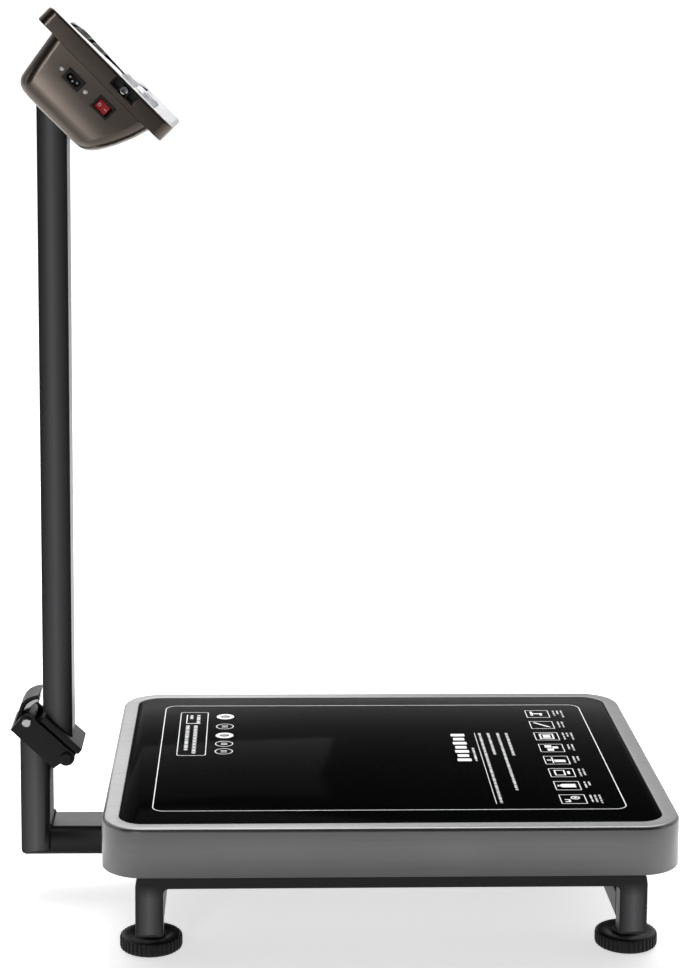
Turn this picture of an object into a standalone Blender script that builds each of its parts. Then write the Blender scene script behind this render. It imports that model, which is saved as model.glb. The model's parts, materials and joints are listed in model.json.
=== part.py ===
# Label printing platform scale: levelling frame, lift-off tray, folding column and indicator head.
# Sizes are in millimetres.  +X is the operator's end, +Z is up and z = 0 is the floor.
import math

import bmesh
import bpy
from mathutils import Matrix, Vector

MM = 0.001
GAP = 0.3                     # clearance between neighbouring pieces
RUN = 0.15                    # radial running clearance of the pivots
CORNER_SEGMENTS = 6

# platform
PLATFORM_START = -200.0       # platform's edge beside the column
PLATFORM_LENGTH = 500.0
PLATFORM_WIDTH = 400.0
PLATFORM_TOP = 124.0
PLATFORM_X = PLATFORM_START + PLATFORM_LENGTH / 2.0
TRAY_CORNER = 37.0
TRAY_SKIRT = 43.0
TRAY_SHEET = 1.5
TRAY_EDGE = 3.2
RIM_WIDTH = 15.0
GLASS_THICK = 3.8

# base frame
LEG_INSET = 41.5              # leg axis from the platform's ends
RAIL_INSET = 22.5             # rail axis from the platform's front and rear
RAIL_SIZE = 24.0
RAIL_TOP = 90.5
LEG_BOTTOM = 23.5
BEND_RADIUS = 22.0
BEAM_BOTTOM = 30.0
BEAM_HEIGHT = 24.0
CROSS_WIDTH = 60.0
EDGE_ROUND = 3.0
TUBE_WALL = 2.0

# levelling feet
FOOT_INSET = 48.0             # foot axis from the platform's front and rear
KNOB_RADIUS = 27.5
KNOB_HEIGHT = 14.0
KNOB_FLUTES = 30
SOLE_RADIUS = 22.0
SOLE_HEIGHT = 4.0
STUD_RADIUS = 5.0
STUD_TOP = 51.0

# weighing parts under the tray
CELL_LENGTH = 130.0
CELL_WIDTH = 30.0
CELL_HEIGHT = 26.0
CELL_BOTTOM = 60.0
SEAT_LENGTH = 32.0
SPIDER_LENGTH = 380.0
SPIDER_WIDTH = 260.0
SPIDER_THICK = 6.0
STRIP_WIDTH = 30.0
STRIP_HEIGHT = 8.0

# column bracket, column and folding hinge
STUB_LEFT = -285.0
CUP_OVERHANG = 7.88           # the cup's corner stands past the stub's side
CENTRE_X = (PLATFORM_START + PLATFORM_LENGTH + STUB_LEFT - CUP_OVERHANG) / 2.0
TUBE_WIDTH = 27.0
STUB_DEPTH = 46.0
COLUMN_DEPTH = 40.0
COLUMN_LEFT = -264.0
BRACKET_BOTTOM = 36.0
TUBE_ROUND = 4.0
TONGUE_LENGTH = 110.0
TONGUE_THICK = 6.0
HINGE_X = -242.1
HINGE_Z = 130.8
HINGE_SLOPE = 43.5            # degrees below the horizontal
KNUCKLE_RADIUS = 7.8
HINGE_PIN_RADIUS = 4.0
PIVOT_HEIGHT = 15.6           # pivot axes above the cup's floor line
LATCH_SPACING = 49.2          # from the hinge axis to the latch axis along the slope
LATCH_PIN_RADIUS = 3.2
CUP_WALL = 3.8
CUP_FLOOR = 4.0
CUP_HEIGHT = 22.5
LEAF_THICK = 6.5

# indicator head, in its own axes: u runs down the face, v runs into the head
HEAD_X = -237.2
HEAD_Z = 808.3
HEAD_TILT = 45.0
LID_START = -8.0
LID_LENGTH = 146.0
HEAD_WIDTH = 200.0
LID_DEPTH = 16.0
LID_CORNER = 10.0
LID_EDGE = 2.4
SHEET = 1.5
PANEL_RIM = 3.5
PANEL_THICK = 1.0
HOUSING_INSET = 3.0
HOUSING_HALF = HEAD_WIDTH / 2.0 - HOUSING_INSET
HOUSING_DEPTH = 70.0
HOUSING_FLOOR_START = 27.0
HOUSING_FLOOR_END = 90.0

# face layout
WINDOW_U = 34.0
WINDOW_Y = -32.0
WINDOW_LENGTH = 40.0
WINDOW_WIDTH = 104.0
KEY_COLUMNS = 4
KEY_ROWS = 2
KEY_LENGTH = 15.0
KEY_WIDTH = 20.0
KEY_PITCH_U = 24.0
KEY_PITCH_Y = 27.0
KEY_FIRST_U = 82.0
KEY_PROUD = 0.2
KEY_TRAVEL = 0.8
DOOR_START = 8.0
DOOR_LENGTH = 84.0
DOOR_WIDTH = 60.0
DOOR_Y = 60.0
DOOR_THICK = 3.0
SLOT_LENGTH = 4.0

# side openings
INLET_U = 49.8
INLET_V = 31.0
INLET_LENGTH = 18.4
INLET_HEIGHT = 10.8
ROCKER_U = 83.7
ROCKER_V = 30.1
ROCKER_LENGTH = 18.4
ROCKER_HEIGHT = 13.4
ROCKER_TIP = 7.0              # degrees the paddle leans either way
PORT_U = 86.3
PORT_V = 6.9
PORT_SLOT = 27.0
PORT_HEIGHT = 9.2
PORT_LENGTH = 9.6

# label printer
ROLL_U = 46.0
ROLL_V = 33.0
ROLL_RADIUS = 21.0
ROLL_WIDTH = 44.0
SPINDLE_RADIUS = 5.5
PLATEN_U = 99.0
PLATEN_V = 14.0
PLATEN_RADIUS = 5.0
PLATEN_LENGTH = 44.0
GEAR_MODULE = 1.0
PLATEN_TEETH = 16
PINION_TEETH = 12
GEAR_WIDTH = 3.0
CHEEK_GAP = 50.0
CHEEK_THICK = 2.0

COLOURS = {
    "powder": (0.022, 0.022, 0.024, 0.4, 0.45),
    "tray_steel": (0.46, 0.46, 0.47, 1.0, 0.34),
    "glass_black": (0.004, 0.004, 0.005, 0.0, 0.08),
    "knob_black": (0.012, 0.012, 0.013, 0.0, 0.5),
    "stud_zinc": (0.55, 0.55, 0.53, 1.0, 0.35),
    "sole_rubber": (0.015, 0.015, 0.015, 0.0, 0.8),
    "cell_aluminium": (0.62, 0.63, 0.65, 1.0, 0.35),
    "spider_paint": (0.05, 0.05, 0.055, 0.2, 0.5),
    "pin_chrome": (0.75, 0.75, 0.76, 1.0, 0.15),
    "hinge_cast": (0.02, 0.02, 0.022, 0.3, 0.5),
    "head_steel": (0.40, 0.38, 0.36, 1.0, 0.3),
    "panel_light": (0.78, 0.79, 0.81, 0.0, 0.35),
    "window_clear": (0.05, 0.07, 0.06, 0.0, 0.06),
    "board_green": (0.02, 0.16, 0.07, 0.0, 0.5),
    "battery_grey": (0.10, 0.10, 0.11, 0.0, 0.5),
    "moulding_black": (0.012, 0.012, 0.012, 0.0, 0.4),
    "rocker_red": (0.65, 0.02, 0.015, 0.0, 0.3),
    "key_grey": (0.22, 0.25, 0.30, 0.0, 0.5),
    "door_light": (0.70, 0.71, 0.73, 0.0, 0.4),
    "paper_white": (0.86, 0.86, 0.83, 0.0, 0.8),
    "roller_rubber": (0.03, 0.03, 0.035, 0.0, 0.6),
    "gear_white": (0.70, 0.69, 0.64, 0.0, 0.4),
}

for old in list(bpy.data.objects):
    bpy.data.objects.remove(old, do_unlink=True)

materials = {}
for label, (red, green, blue, metallic, rough) in COLOURS.items():
    made = bpy.data.materials.new(label)
    made.use_nodes = True
    shader = made.node_tree.nodes["Principled BSDF"]
    shader.inputs["Base Color"].default_value = (red, green, blue, 1.0)
    shader.inputs["Metallic"].default_value = metallic
    shader.inputs["Roughness"].default_value = rough
    materials[label] = made


# ---- shared helpers -------------------------------------------------------------------------------

def finish(name, bm, colour, pivot=None, smooth=35.0):
    """Turn a mesh in millimetres into a named object whose origin is its pivot."""
    middle = Vector((CENTRE_X, 0.0, 0.0))
    origin = Vector(pivot) if pivot else middle
    bmesh.ops.remove_doubles(bm, verts=bm.verts, dist=0.0005)
    bmesh.ops.recalc_face_normals(bm, faces=bm.faces)
    bm.transform(Matrix.Scale(MM, 4) @ Matrix.Translation(-origin))
    mesh = bpy.data.meshes.new(name)
    bm.to_mesh(mesh)
    bm.free()
    for polygon in mesh.polygons:
        polygon.use_smooth = smooth is not None
    if smooth is not None:
        mesh.set_sharp_from_angle(angle=math.radians(smooth))
    mesh.materials.append(materials[colour])
    made = bpy.data.objects.new(name, mesh)
    made.location = (origin - middle) * MM
    bpy.context.scene.collection.objects.link(made)
    return made


def loft(loops):
    """Closed solid through equal-length loops of points, capped at both ends."""
    bm = bmesh.new()
    rings = [[bm.verts.new(point) for point in loop] for loop in loops]
    count = len(loops[0])
    for lower, upper in zip(rings[:-1], rings[1:]):
        for i in range(count):
            j = (i + 1) % count
            bm.faces.new((lower[i], lower[j], upper[j], upper[i]))
    bm.faces.new(list(reversed(rings[0])))
    bm.faces.new(rings[-1])
    bmesh.ops.recalc_face_normals(bm, faces=bm.faces)
    return bm


def rounded(half_x, half_y, radius, segments=CORNER_SEGMENTS, centre=(0.0, 0.0)):
    """Rounded rectangle, anticlockwise."""
    points = []
    for sign_x, sign_y, start in ((1, 1, 0), (-1, 1, 90), (-1, -1, 180), (1, -1, 270)):
        cx = centre[0] + sign_x * (half_x - radius)
        cy = centre[1] + sign_y * (half_y - radius)
        for step in range(segments + 1):
            angle = math.radians(start + 90.0 * step / segments)
            points.append((cx + radius * math.cos(angle), cy + radius * math.sin(angle)))
    return points


def circle(radius, count, centre=(0.0, 0.0), phase=0.0):
    """Points of a circle, anticlockwise."""
    step = 2.0 * math.pi / count
    return [
        (centre[0] + radius * math.cos(phase + i * step), centre[1] + radius * math.sin(phase + i * step))
        for i in range(count)
    ]


def head_point(u, y, v):
    """A point of the head's own axes in the scale's axes."""
    cos_t = math.cos(math.radians(HEAD_TILT))
    sin_t = math.sin(math.radians(HEAD_TILT))
    return (HEAD_X + u * cos_t - v * sin_t, y, HEAD_Z - u * sin_t - v * cos_t)


def slope_point(s, y, n):
    """A point of the hinge's sloped axes, measured from the hinge axis and the cup's floor line."""
    cos_s = math.cos(math.radians(HINGE_SLOPE))
    sin_s = math.sin(math.radians(HINGE_SLOPE))
    lift = n - PIVOT_HEIGHT
    return (HINGE_X + s * cos_s + lift * sin_s, y, HINGE_Z - s * sin_s + lift * cos_s)


def prism(points, start, end, place):
    """Extrude a 2-D outline between two offsets; place maps (a, b, offset) to a point."""
    return loft([[place(a, b, start) for a, b in points], [place(a, b, end) for a, b in points]])


def on_floor(a, b, offset):
    return (a, b, offset)


def across(a, b, offset):
    return (a, offset, b)


def along(a, b, offset):
    return (offset, a, b)


def head_down(a, b, offset):
    return head_point(a, b, offset)


def head_across(a, b, offset):
    return head_point(a, offset, b)


def slope_across(a, b, offset):
    return slope_point(a, offset, b)


def box(x0, x1, y0, y1, z0, z1, radius=0.0, segments=2):
    """Box with its upright corners rounded when a radius is given."""
    if radius <= 0.0:
        outline = [(x1, y1), (x0, y1), (x0, y0), (x1, y0)]
    else:
        centre = ((x0 + x1) / 2.0, (y0 + y1) / 2.0)
        outline = rounded((x1 - x0) / 2.0, (y1 - y0) / 2.0, radius, segments, centre)
    return prism(outline, z0, z1, on_floor)


def head_box(u0, u1, y0, y1, v0, v1, radius=0.0, segments=2):
    """Box in the head's own axes."""
    if radius <= 0.0:
        outline = [(u1, y1), (u0, y1), (u0, y0), (u1, y0)]
    else:
        centre = ((u0 + u1) / 2.0, (y0 + y1) / 2.0)
        outline = rounded((u1 - u0) / 2.0, (y1 - y0) / 2.0, radius, segments, centre)
    return prism(outline, v0, v1, head_down)


def combine(base, other, operation):
    """Exact Boolean of two meshes in millimetres."""
    objects = []
    for bm in (base, other):
        bm.transform(Matrix.Scale(MM, 4))
        mesh = bpy.data.meshes.new("working")
        bm.to_mesh(mesh)
        bm.free()
        made = bpy.data.objects.new("working", mesh)
        bpy.context.scene.collection.objects.link(made)
        objects.append(made)
    keep, tool = objects
    tool.hide_render = True
    tool.display_type = "WIRE"
    modifier = keep.modifiers.new("join", "BOOLEAN")
    modifier.object = tool
    modifier.operation = operation
    modifier.solver = "EXACT"
    bpy.context.view_layer.update()
    solved = keep.evaluated_get(bpy.context.evaluated_depsgraph_get())
    result = bmesh.new()
    result.from_mesh(solved.data)
    result.transform(Matrix.Scale(1.0 / MM, 4))
    for made in objects:
        bpy.data.objects.remove(made, do_unlink=True)
    bmesh.ops.remove_doubles(result, verts=result.verts, dist=0.0005)
    return result


def cut(base, *tools):
    for tool in tools:
        base = combine(base, tool, "DIFFERENCE")
    return base


def join(base, *tools):
    for tool in tools:
        base = combine(base, tool, "UNION")
    return base


def soften(bm, width, segments, chosen):
    """Round the edges that the test picks."""
    edges = [edge for edge in bm.edges if chosen(edge)]
    bmesh.ops.bevel(bm, geom=edges, offset=width, segments=segments, profile=0.5, affect="EDGES")
    return bm


def edge_in_plane(axis, values):
    """Test for edges lying in a plane normal to one axis."""
    def test(edge):
        a, b = edge.verts[0].co[axis], edge.verts[1].co[axis]
        return abs(a - b) < 0.01 and any(abs(a - value) < 0.01 for value in values)
    return test


def gear_outline(teeth, module, phase):
    """Plain trapezoid teeth, narrower than half the pitch so that the pair runs free."""
    pitch = teeth * module / 2.0
    levels = (
        (pitch - 1.15 * module, 0.33),
        (pitch, 0.215),
        (pitch + 0.8 * module, 0.10),
    )
    points = []
    for tooth in range(teeth):
        for side in (-1, 1):
            order = levels if side < 0 else reversed(levels)
            for radius, share in order:
                angle = phase + 2.0 * math.pi * (tooth + side * share) / teeth
                points.append((radius * math.cos(angle), radius * math.sin(angle)))
    return points


# ---- tray and glass -------------------------------------------------------------------------------

trayBottom = PLATFORM_TOP - TRAY_SKIRT
recessFloor = PLATFORM_TOP - GLASS_THICK - GAP
recessInset = RIM_WIDTH - GAP / 2.0


def tray_loop(inset, z):
    radius = max(TRAY_CORNER - inset, 1.0)
    outline = rounded(
        PLATFORM_LENGTH / 2.0 - inset, PLATFORM_WIDTH / 2.0 - inset, radius, 10, (PLATFORM_X, 0.0)
    )
    return [(x, y, z) for x, y in outline]


trayLoops = [
    tray_loop(recessInset - TRAY_SHEET, recessFloor - TRAY_SHEET),
    tray_loop(recessInset - TRAY_SHEET, PLATFORM_TOP - TRAY_SHEET),
    tray_loop(TRAY_EDGE, PLATFORM_TOP - TRAY_SHEET),
    tray_loop(TRAY_SHEET, PLATFORM_TOP - TRAY_EDGE),
    tray_loop(TRAY_SHEET, trayBottom),
    tray_loop(0.0, trayBottom),
]
for step in range(5):
    angle = math.radians(90.0 * step / 4.0)
    trayLoops.append(
        tray_loop(TRAY_EDGE * (1.0 - math.cos(angle)), PLATFORM_TOP - TRAY_EDGE * (1.0 - math.sin(angle)))
    )
trayLoops.append(tray_loop(recessInset, PLATFORM_TOP))
trayLoops.append(tray_loop(recessInset, recessFloor))
finish("tray_shell", loft(trayLoops), "tray_steel", (PLATFORM_X, 0.0, trayBottom))

glassInset = recessInset + GAP
glassLoops = [
    tray_loop(glassInset, recessFloor + GAP),
    tray_loop(glassInset, PLATFORM_TOP - 0.4),
    tray_loop(glassInset + 0.4, PLATFORM_TOP),
]
finish("glass_inlay", loft(glassLoops), "glass_black", (PLATFORM_X, 0.0, trayBottom))

# ---- base frame -----------------------------------------------------------------------------------

legHalf = PLATFORM_LENGTH / 2.0 - LEG_INSET
railY = PLATFORM_WIDTH / 2.0 - RAIL_INSET
railHalf = RAIL_SIZE / 2.0
footY = PLATFORM_WIDTH / 2.0 - FOOT_INSET


def arch_outline(wall=0.0):
    """Bent tube seen from the front, or its hollow when a wall is given."""
    outer = legHalf + railHalf - wall
    inner = legHalf - railHalf + wall
    railTop = RAIL_TOP - wall
    railBottom = RAIL_TOP - RAIL_SIZE + wall
    bend = BEND_RADIUS - wall
    innerBend = 5.0
    legEnd = LEG_BOTTOM - 5.0 * wall
    right = [(outer, legEnd)]
    for step in range(7):
        angle = math.radians(15.0 * step)
        right.append((
            outer - bend * (1.0 - math.cos(angle)),
            railTop - bend * (1.0 - math.sin(angle)),
        ))
    top = right + [(-x, z) for x, z in reversed(right)]
    left = [(-inner, legEnd)]
    for step in range(5):
        angle = math.radians(22.5 * step)
        left.append((
            -(inner - innerBend * (1.0 - math.cos(angle))),
            railBottom - innerBend * (1.0 - math.sin(angle)),
        ))
    bottom = left + [(-x, z) for x, z in reversed(left)]
    return [(x + PLATFORM_X, z) for x, z in top + bottom]


for name, side in (("front_arch", -1.0), ("rear_arch", 1.0)):
    faces = (side * railY - railHalf, side * railY + railHalf)
    arch = prism(arch_outline(), faces[0], faces[1], across)
    soften(arch, EDGE_ROUND, 3, edge_in_plane(1, faces))
    hollow = prism(arch_outline(TUBE_WALL), faces[0] + TUBE_WALL, faces[1] - TUBE_WALL, across)
    finish(name, cut(arch, hollow), "powder")

beamStart = railY - railHalf - GAP
beamTop = BEAM_BOTTOM + BEAM_HEIGHT
for name, side in (("side_beam_left", -1.0), ("side_beam_right", 1.0)):
    middle = PLATFORM_X + side * legHalf
    section = rounded(railHalf, BEAM_HEIGHT / 2.0, EDGE_ROUND, 3, (middle, BEAM_BOTTOM + BEAM_HEIGHT / 2.0))
    beam = prism(section, -beamStart, beamStart, across)
    hollow = rounded(
        railHalf - TUBE_WALL, BEAM_HEIGHT / 2.0 - TUBE_WALL, EDGE_ROUND - TUBE_WALL, 1,
        (middle, BEAM_BOTTOM + BEAM_HEIGHT / 2.0),
    )
    beam = cut(beam, prism(hollow, -beamStart - 5.0, beamStart + 5.0, across))
    for end in (-1.0, 1.0):
        hole = prism(circle(STUD_RADIUS + RUN, 24, (middle, end * footY)), BEAM_BOTTOM - 5, beamTop + 5, on_floor)
        beam = cut(beam, hole)
    finish(name, beam, "powder")

beamInner = legHalf - railHalf - GAP
crossTop = beamTop
cross = box(
    PLATFORM_X - beamInner, PLATFORM_X + beamInner, -CROSS_WIDTH / 2.0, CROSS_WIDTH / 2.0,
    BEAM_BOTTOM + 2.0, crossTop,
)
soften(cross, EDGE_ROUND, 2, lambda edge: abs(edge.verts[0].co.x - edge.verts[1].co.x) > 100.0)
cellStart = PLATFORM_X - CELL_LENGTH / 2.0
cellEnd = PLATFORM_X + CELL_LENGTH / 2.0
crossHollow = box(
    PLATFORM_X - beamInner - 5.0, PLATFORM_X + beamInner + 5.0,
    -CROSS_WIDTH / 2.0 + 3.0, CROSS_WIDTH / 2.0 - 3.0, BEAM_BOTTOM + 5.0, crossTop - 3.0,
)
cross = cut(cross, crossHollow)
seat = box(
    cellStart, cellStart + SEAT_LENGTH, -CELL_WIDTH / 2.0, CELL_WIDTH / 2.0, crossTop - 2.0, CELL_BOTTOM - GAP
)
finish("cross_beam", join(cross, seat), "powder")

# ---- load cell, upper plate and rubber strips -------------------------------------------------------

cellTop = CELL_BOTTOM + CELL_HEIGHT
cellMiddle = CELL_BOTTOM + CELL_HEIGHT / 2.0
cell = box(cellStart, cellEnd, -CELL_WIDTH / 2.0, CELL_WIDTH / 2.0, CELL_BOTTOM, cellTop)
window = [(x, z) for x, z in circle(7.5, 20, (PLATFORM_X - 16.0, cellMiddle))]
windowRight = [(x, z) for x, z in circle(7.5, 20, (PLATFORM_X + 16.0, cellMiddle))]
slot = [
    (PLATFORM_X - 16.0, cellMiddle - 3.0),
    (PLATFORM_X + 16.0, cellMiddle - 3.0),
    (PLATFORM_X + 16.0, cellMiddle + 3.0),
    (PLATFORM_X - 16.0, cellMiddle + 3.0),
]
for outline in (window, windowRight, slot):
    cell = cut(cell, prism(outline, -CELL_WIDTH, CELL_WIDTH, across))
finish("load_cell", cell, "cell_aluminium")

stripTop = recessFloor - TRAY_SHEET - GAP
spiderTop = stripTop - STRIP_HEIGHT - GAP
spider = box(
    PLATFORM_X - SPIDER_LENGTH / 2.0, PLATFORM_X + SPIDER_LENGTH / 2.0,
    -SPIDER_WIDTH / 2.0, SPIDER_WIDTH / 2.0, spiderTop - SPIDER_THICK, spiderTop, 12.0, 4,
)
pedestal = box(
    cellEnd - SEAT_LENGTH, cellEnd, -CELL_WIDTH / 2.0, CELL_WIDTH / 2.0,
    cellTop + GAP, spiderTop - SPIDER_THICK / 2.0,
)
finish("load_plate", join(spider, pedestal), "spider_paint")

for name, side in (("tray_strip_left", -1.0), ("tray_strip_right", 1.0)):
    middle = PLATFORM_X + side * (SPIDER_LENGTH / 2.0 - STRIP_WIDTH / 2.0 - 5.0)
    strip = box(
        middle - STRIP_WIDTH / 2.0, middle + STRIP_WIDTH / 2.0,
        -SPIDER_WIDTH / 2.0 + 15.0, SPIDER_WIDTH / 2.0 - 15.0, spiderTop + GAP, stripTop, 6.0, 3,
    )
    finish(name, strip, "sole_rubber")

# ---- levelling feet -------------------------------------------------------------------------------

def fluted(radius, depth, z, centre):
    """Loop with one shallow flute per three points."""
    points = []
    for flute in range(KNOB_FLUTES):
        for share, drop in ((0.0, depth), (0.3, 0.0), (0.7, 0.0)):
            angle = 2.0 * math.pi * (flute + share) / KNOB_FLUTES
            points.append((
                centre[0] + (radius - drop) * math.cos(angle),
                centre[1] + (radius - drop) * math.sin(angle),
                z,
            ))
    return points


for end_x, word_x in ((-1.0, "left"), (1.0, "right")):
    for end_y, word_y in ((-1.0, "front"), (1.0, "rear")):
        centre = (PLATFORM_X + end_x * legHalf, end_y * footY)
        pivot = (centre[0], centre[1], 0.0)
        corner = word_y + "_" + word_x
        sole = prism(circle(SOLE_RADIUS, 32, centre), 0.0, SOLE_HEIGHT, on_floor)
        finish("foot_sole_" + corner, sole, "sole_rubber", pivot)
        knob = loft([
            fluted(KNOB_RADIUS - 1.2, 0.0, 1.0, centre),
            fluted(KNOB_RADIUS, 1.1, 2.2, centre),
            fluted(KNOB_RADIUS, 1.1, KNOB_HEIGHT - 2.2, centre),
            fluted(KNOB_RADIUS - 1.6, 0.0, KNOB_HEIGHT - 0.6, centre),
            fluted(KNOB_RADIUS - 3.4, 0.0, KNOB_HEIGHT, centre),
        ])
        recess = prism(circle(SOLE_RADIUS + GAP, 32, centre), -5.0, SOLE_HEIGHT + GAP, on_floor)
        socket = prism(circle(STUD_RADIUS + GAP, 24, centre), SOLE_HEIGHT + 3.0, KNOB_HEIGHT + 5.0, on_floor)
        finish("foot_knob_" + corner, cut(knob, recess, socket), "knob_black", pivot)
        stud = loft([
            [(x, y, z) for x, y in circle(radius, 24, centre)]
            for radius, z in (
                (STUD_RADIUS, SOLE_HEIGHT + 3.0 + GAP), (STUD_RADIUS, STUD_TOP - 1.0), (STUD_RADIUS - 1.0, STUD_TOP)
            )
        ])
        finish("foot_stud_" + corner, stud, "stud_zinc", pivot)

# ---- column bracket -------------------------------------------------------------------------------

def slope_line_z(x, n):
    """Height of the line n above the cup's floor line, at x."""
    slope = math.radians(HINGE_SLOPE)
    base_x, _, base_z = slope_point(0.0, 0.0, n)
    return base_z - (x - base_x) * math.tan(slope)


stubRight = STUB_LEFT + TUBE_WIDTH
bracketTop = BRACKET_BOTTOM + TUBE_WIDTH
bracketEnd = PLATFORM_X - legHalf - railHalf - GAP
outline = [
    (STUB_LEFT + TUBE_ROUND * 0.29, BRACKET_BOTTOM + TUBE_ROUND * 0.29),
    (STUB_LEFT + TUBE_ROUND, BRACKET_BOTTOM),
    (bracketEnd, BRACKET_BOTTOM),
    (bracketEnd, bracketTop),
    (stubRight, bracketTop),
    (stubRight, slope_line_z(stubRight, -GAP)),
    (STUB_LEFT, slope_line_z(STUB_LEFT, -GAP)),
    (STUB_LEFT, BRACKET_BOTTOM + TUBE_ROUND),
]
stubHalf = STUB_DEPTH / 2.0
bracket = prism(outline, -stubHalf, stubHalf, across)
longEdges = edge_in_plane(1, (-stubHalf, stubHalf))
topEdge = slope_line_z(stubRight, -GAP)


def bracket_edges(edge):
    """Long corners of the tube, not the open ends."""
    if not longEdges(edge):
        return False
    a, b = edge.verts[0].co, edge.verts[1].co
    sloped = abs(a.x - b.x) > 1.0 and abs(a.z - b.z) > 5.0
    at_end = a.x > bracketEnd - 0.1 and b.x > bracketEnd - 0.1
    return not sloped and not at_end


soften(bracket, TUBE_ROUND, 3, bracket_edges)
tongueStart = bracketEnd - 12.0
tongue = box(
    tongueStart, tongueStart + TONGUE_LENGTH, -20.0, 20.0, beamTop + GAP, beamTop + GAP + TONGUE_THICK, 3.0
)
hollowOutline = [
    (STUB_LEFT + TUBE_WALL, BRACKET_BOTTOM + TUBE_WALL),
    (bracketEnd - 8.0, BRACKET_BOTTOM + TUBE_WALL),
    (bracketEnd - 8.0, bracketTop - TUBE_WALL),
    (stubRight - TUBE_WALL, bracketTop - TUBE_WALL),
    (stubRight - TUBE_WALL, slope_line_z(stubRight, 8.0)),
    (STUB_LEFT + TUBE_WALL, slope_line_z(STUB_LEFT, 8.0)),
]
bracketHollow = prism(hollowOutline, -stubHalf + TUBE_WALL, stubHalf - TUBE_WALL, across)
finish("column_bracket", join(cut(bracket, bracketHollow), tongue), "powder")

# ---- folding hinge --------------------------------------------------------------------------------

hingePivot = (HINGE_X, 0.0, HINGE_Z)
latchPivot = slope_point(-LATCH_SPACING, 0.0, PIVOT_HEIGHT)
cupHalf = stubHalf + CUP_WALL
cupStart = -LATCH_SPACING - 6.0
cupEnd = -1.5
wallOutline = [(cupStart, 0.0), (cupEnd, 0.0), (cupEnd + 1.6, PIVOT_HEIGHT - KNUCKLE_RADIUS)]
for step in range(10):
    angle = math.radians(-80.0 + 190.0 * step / 9.0)
    wallOutline.append((
        KNUCKLE_RADIUS * math.cos(angle), PIVOT_HEIGHT + KNUCKLE_RADIUS * math.sin(angle)
    ))
wallOutline.append((-10.0, CUP_HEIGHT))
wallOutline.append((-LATCH_SPACING + 14.0, CUP_HEIGHT))
for step in range(8):
    angle = math.radians(60.0 + 130.0 * step / 7.0)
    wallOutline.append((
        -LATCH_SPACING + 7.0 * math.cos(angle), PIVOT_HEIGHT + 7.0 * math.sin(angle)
    ))
cup = prism(wallOutline, -cupHalf, cupHalf, slope_across)
hollow = prism(
    [(cupStart - 20.0, CUP_FLOOR), (30.0, CUP_FLOOR), (30.0, 60.0), (cupStart - 20.0, 60.0)],
    -stubHalf, stubHalf, slope_across,
)
hingeHole = prism(circle(HINGE_PIN_RADIUS + RUN, 24, (0.0, PIVOT_HEIGHT)), -60.0, 60.0, slope_across)
latchHole = prism(
    circle(LATCH_PIN_RADIUS + RUN, 24, (-LATCH_SPACING, PIVOT_HEIGHT)), -60.0, 60.0, slope_across
)
finish("hinge_cup", cut(cup, hollow, hingeHole, latchHole), "hinge_cast")


def headed_pin(name, centre, radius, headRadius, pivot, slot):
    """Plain pin with a low head at both ends."""
    profile = (
        (headRadius - 0.8, -cupHalf - 3.0), (headRadius, -cupHalf - 2.2), (headRadius, -cupHalf - GAP),
        (radius, -cupHalf - GAP), (radius, cupHalf + GAP),
        (headRadius, cupHalf + GAP), (headRadius, cupHalf + 2.2), (headRadius - 0.8, cupHalf + 3.0),
    )
    pin = loft([[slope_point(a, y, b) for a, b in circle(r, 24, centre)] for r, y in profile])
    finish(name, pin, slot, pivot)


headed_pin("hinge_pin", (0.0, PIVOT_HEIGHT), HINGE_PIN_RADIUS, 5.2, hingePivot, "hinge_cast")
headed_pin("latch_pin", (-LATCH_SPACING, PIVOT_HEIGHT), LATCH_PIN_RADIUS, 4.2, latchPivot, "pin_chrome")

leafBottom = CUP_HEIGHT + 1.8
leafStart = -LATCH_SPACING + 8.0
leafEnd = 6.0
leaf = prism(
    [
        (leafStart, leafBottom), (leafEnd, leafBottom),
        (leafEnd, leafBottom + LEAF_THICK), (leafStart, leafBottom + LEAF_THICK),
    ],
    -cupHalf + 1.0, cupHalf - 1.0, slope_across,
)
soften(leaf, 1.2, 2, lambda edge: True)
barrelHalf = stubHalf - 1.0
knuckle = prism(circle(KNUCKLE_RADIUS - 0.4, 28, (0.0, PIVOT_HEIGHT)), -barrelHalf, barrelHalf, slope_across)
web = prism(
    [(-7.2, PIVOT_HEIGHT), (5.0, PIVOT_HEIGHT), (5.0, leafBottom + 2.0), (-14.0, leafBottom + 2.0)],
    -barrelHalf, barrelHalf, slope_across,
)
lug = prism(
    [
        (-LATCH_SPACING + 10.5, leafBottom + 2.0), (-LATCH_SPACING + 10.5, CUP_FLOOR + 3.0),
        (-LATCH_SPACING + 18.0, CUP_FLOOR + 3.0), (-LATCH_SPACING + 22.0, leafBottom + 2.0),
    ],
    -barrelHalf + 6.0, barrelHalf - 6.0, slope_across,
)
bore = prism(circle(HINGE_PIN_RADIUS + RUN, 24, (0.0, PIVOT_HEIGHT)), -60.0, 60.0, slope_across)
finish("hinge_leaf", cut(join(leaf, web, knuckle, lug), bore), "hinge_cast", hingePivot)

# ---- latch lever ----------------------------------------------------------------------------------

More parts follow.
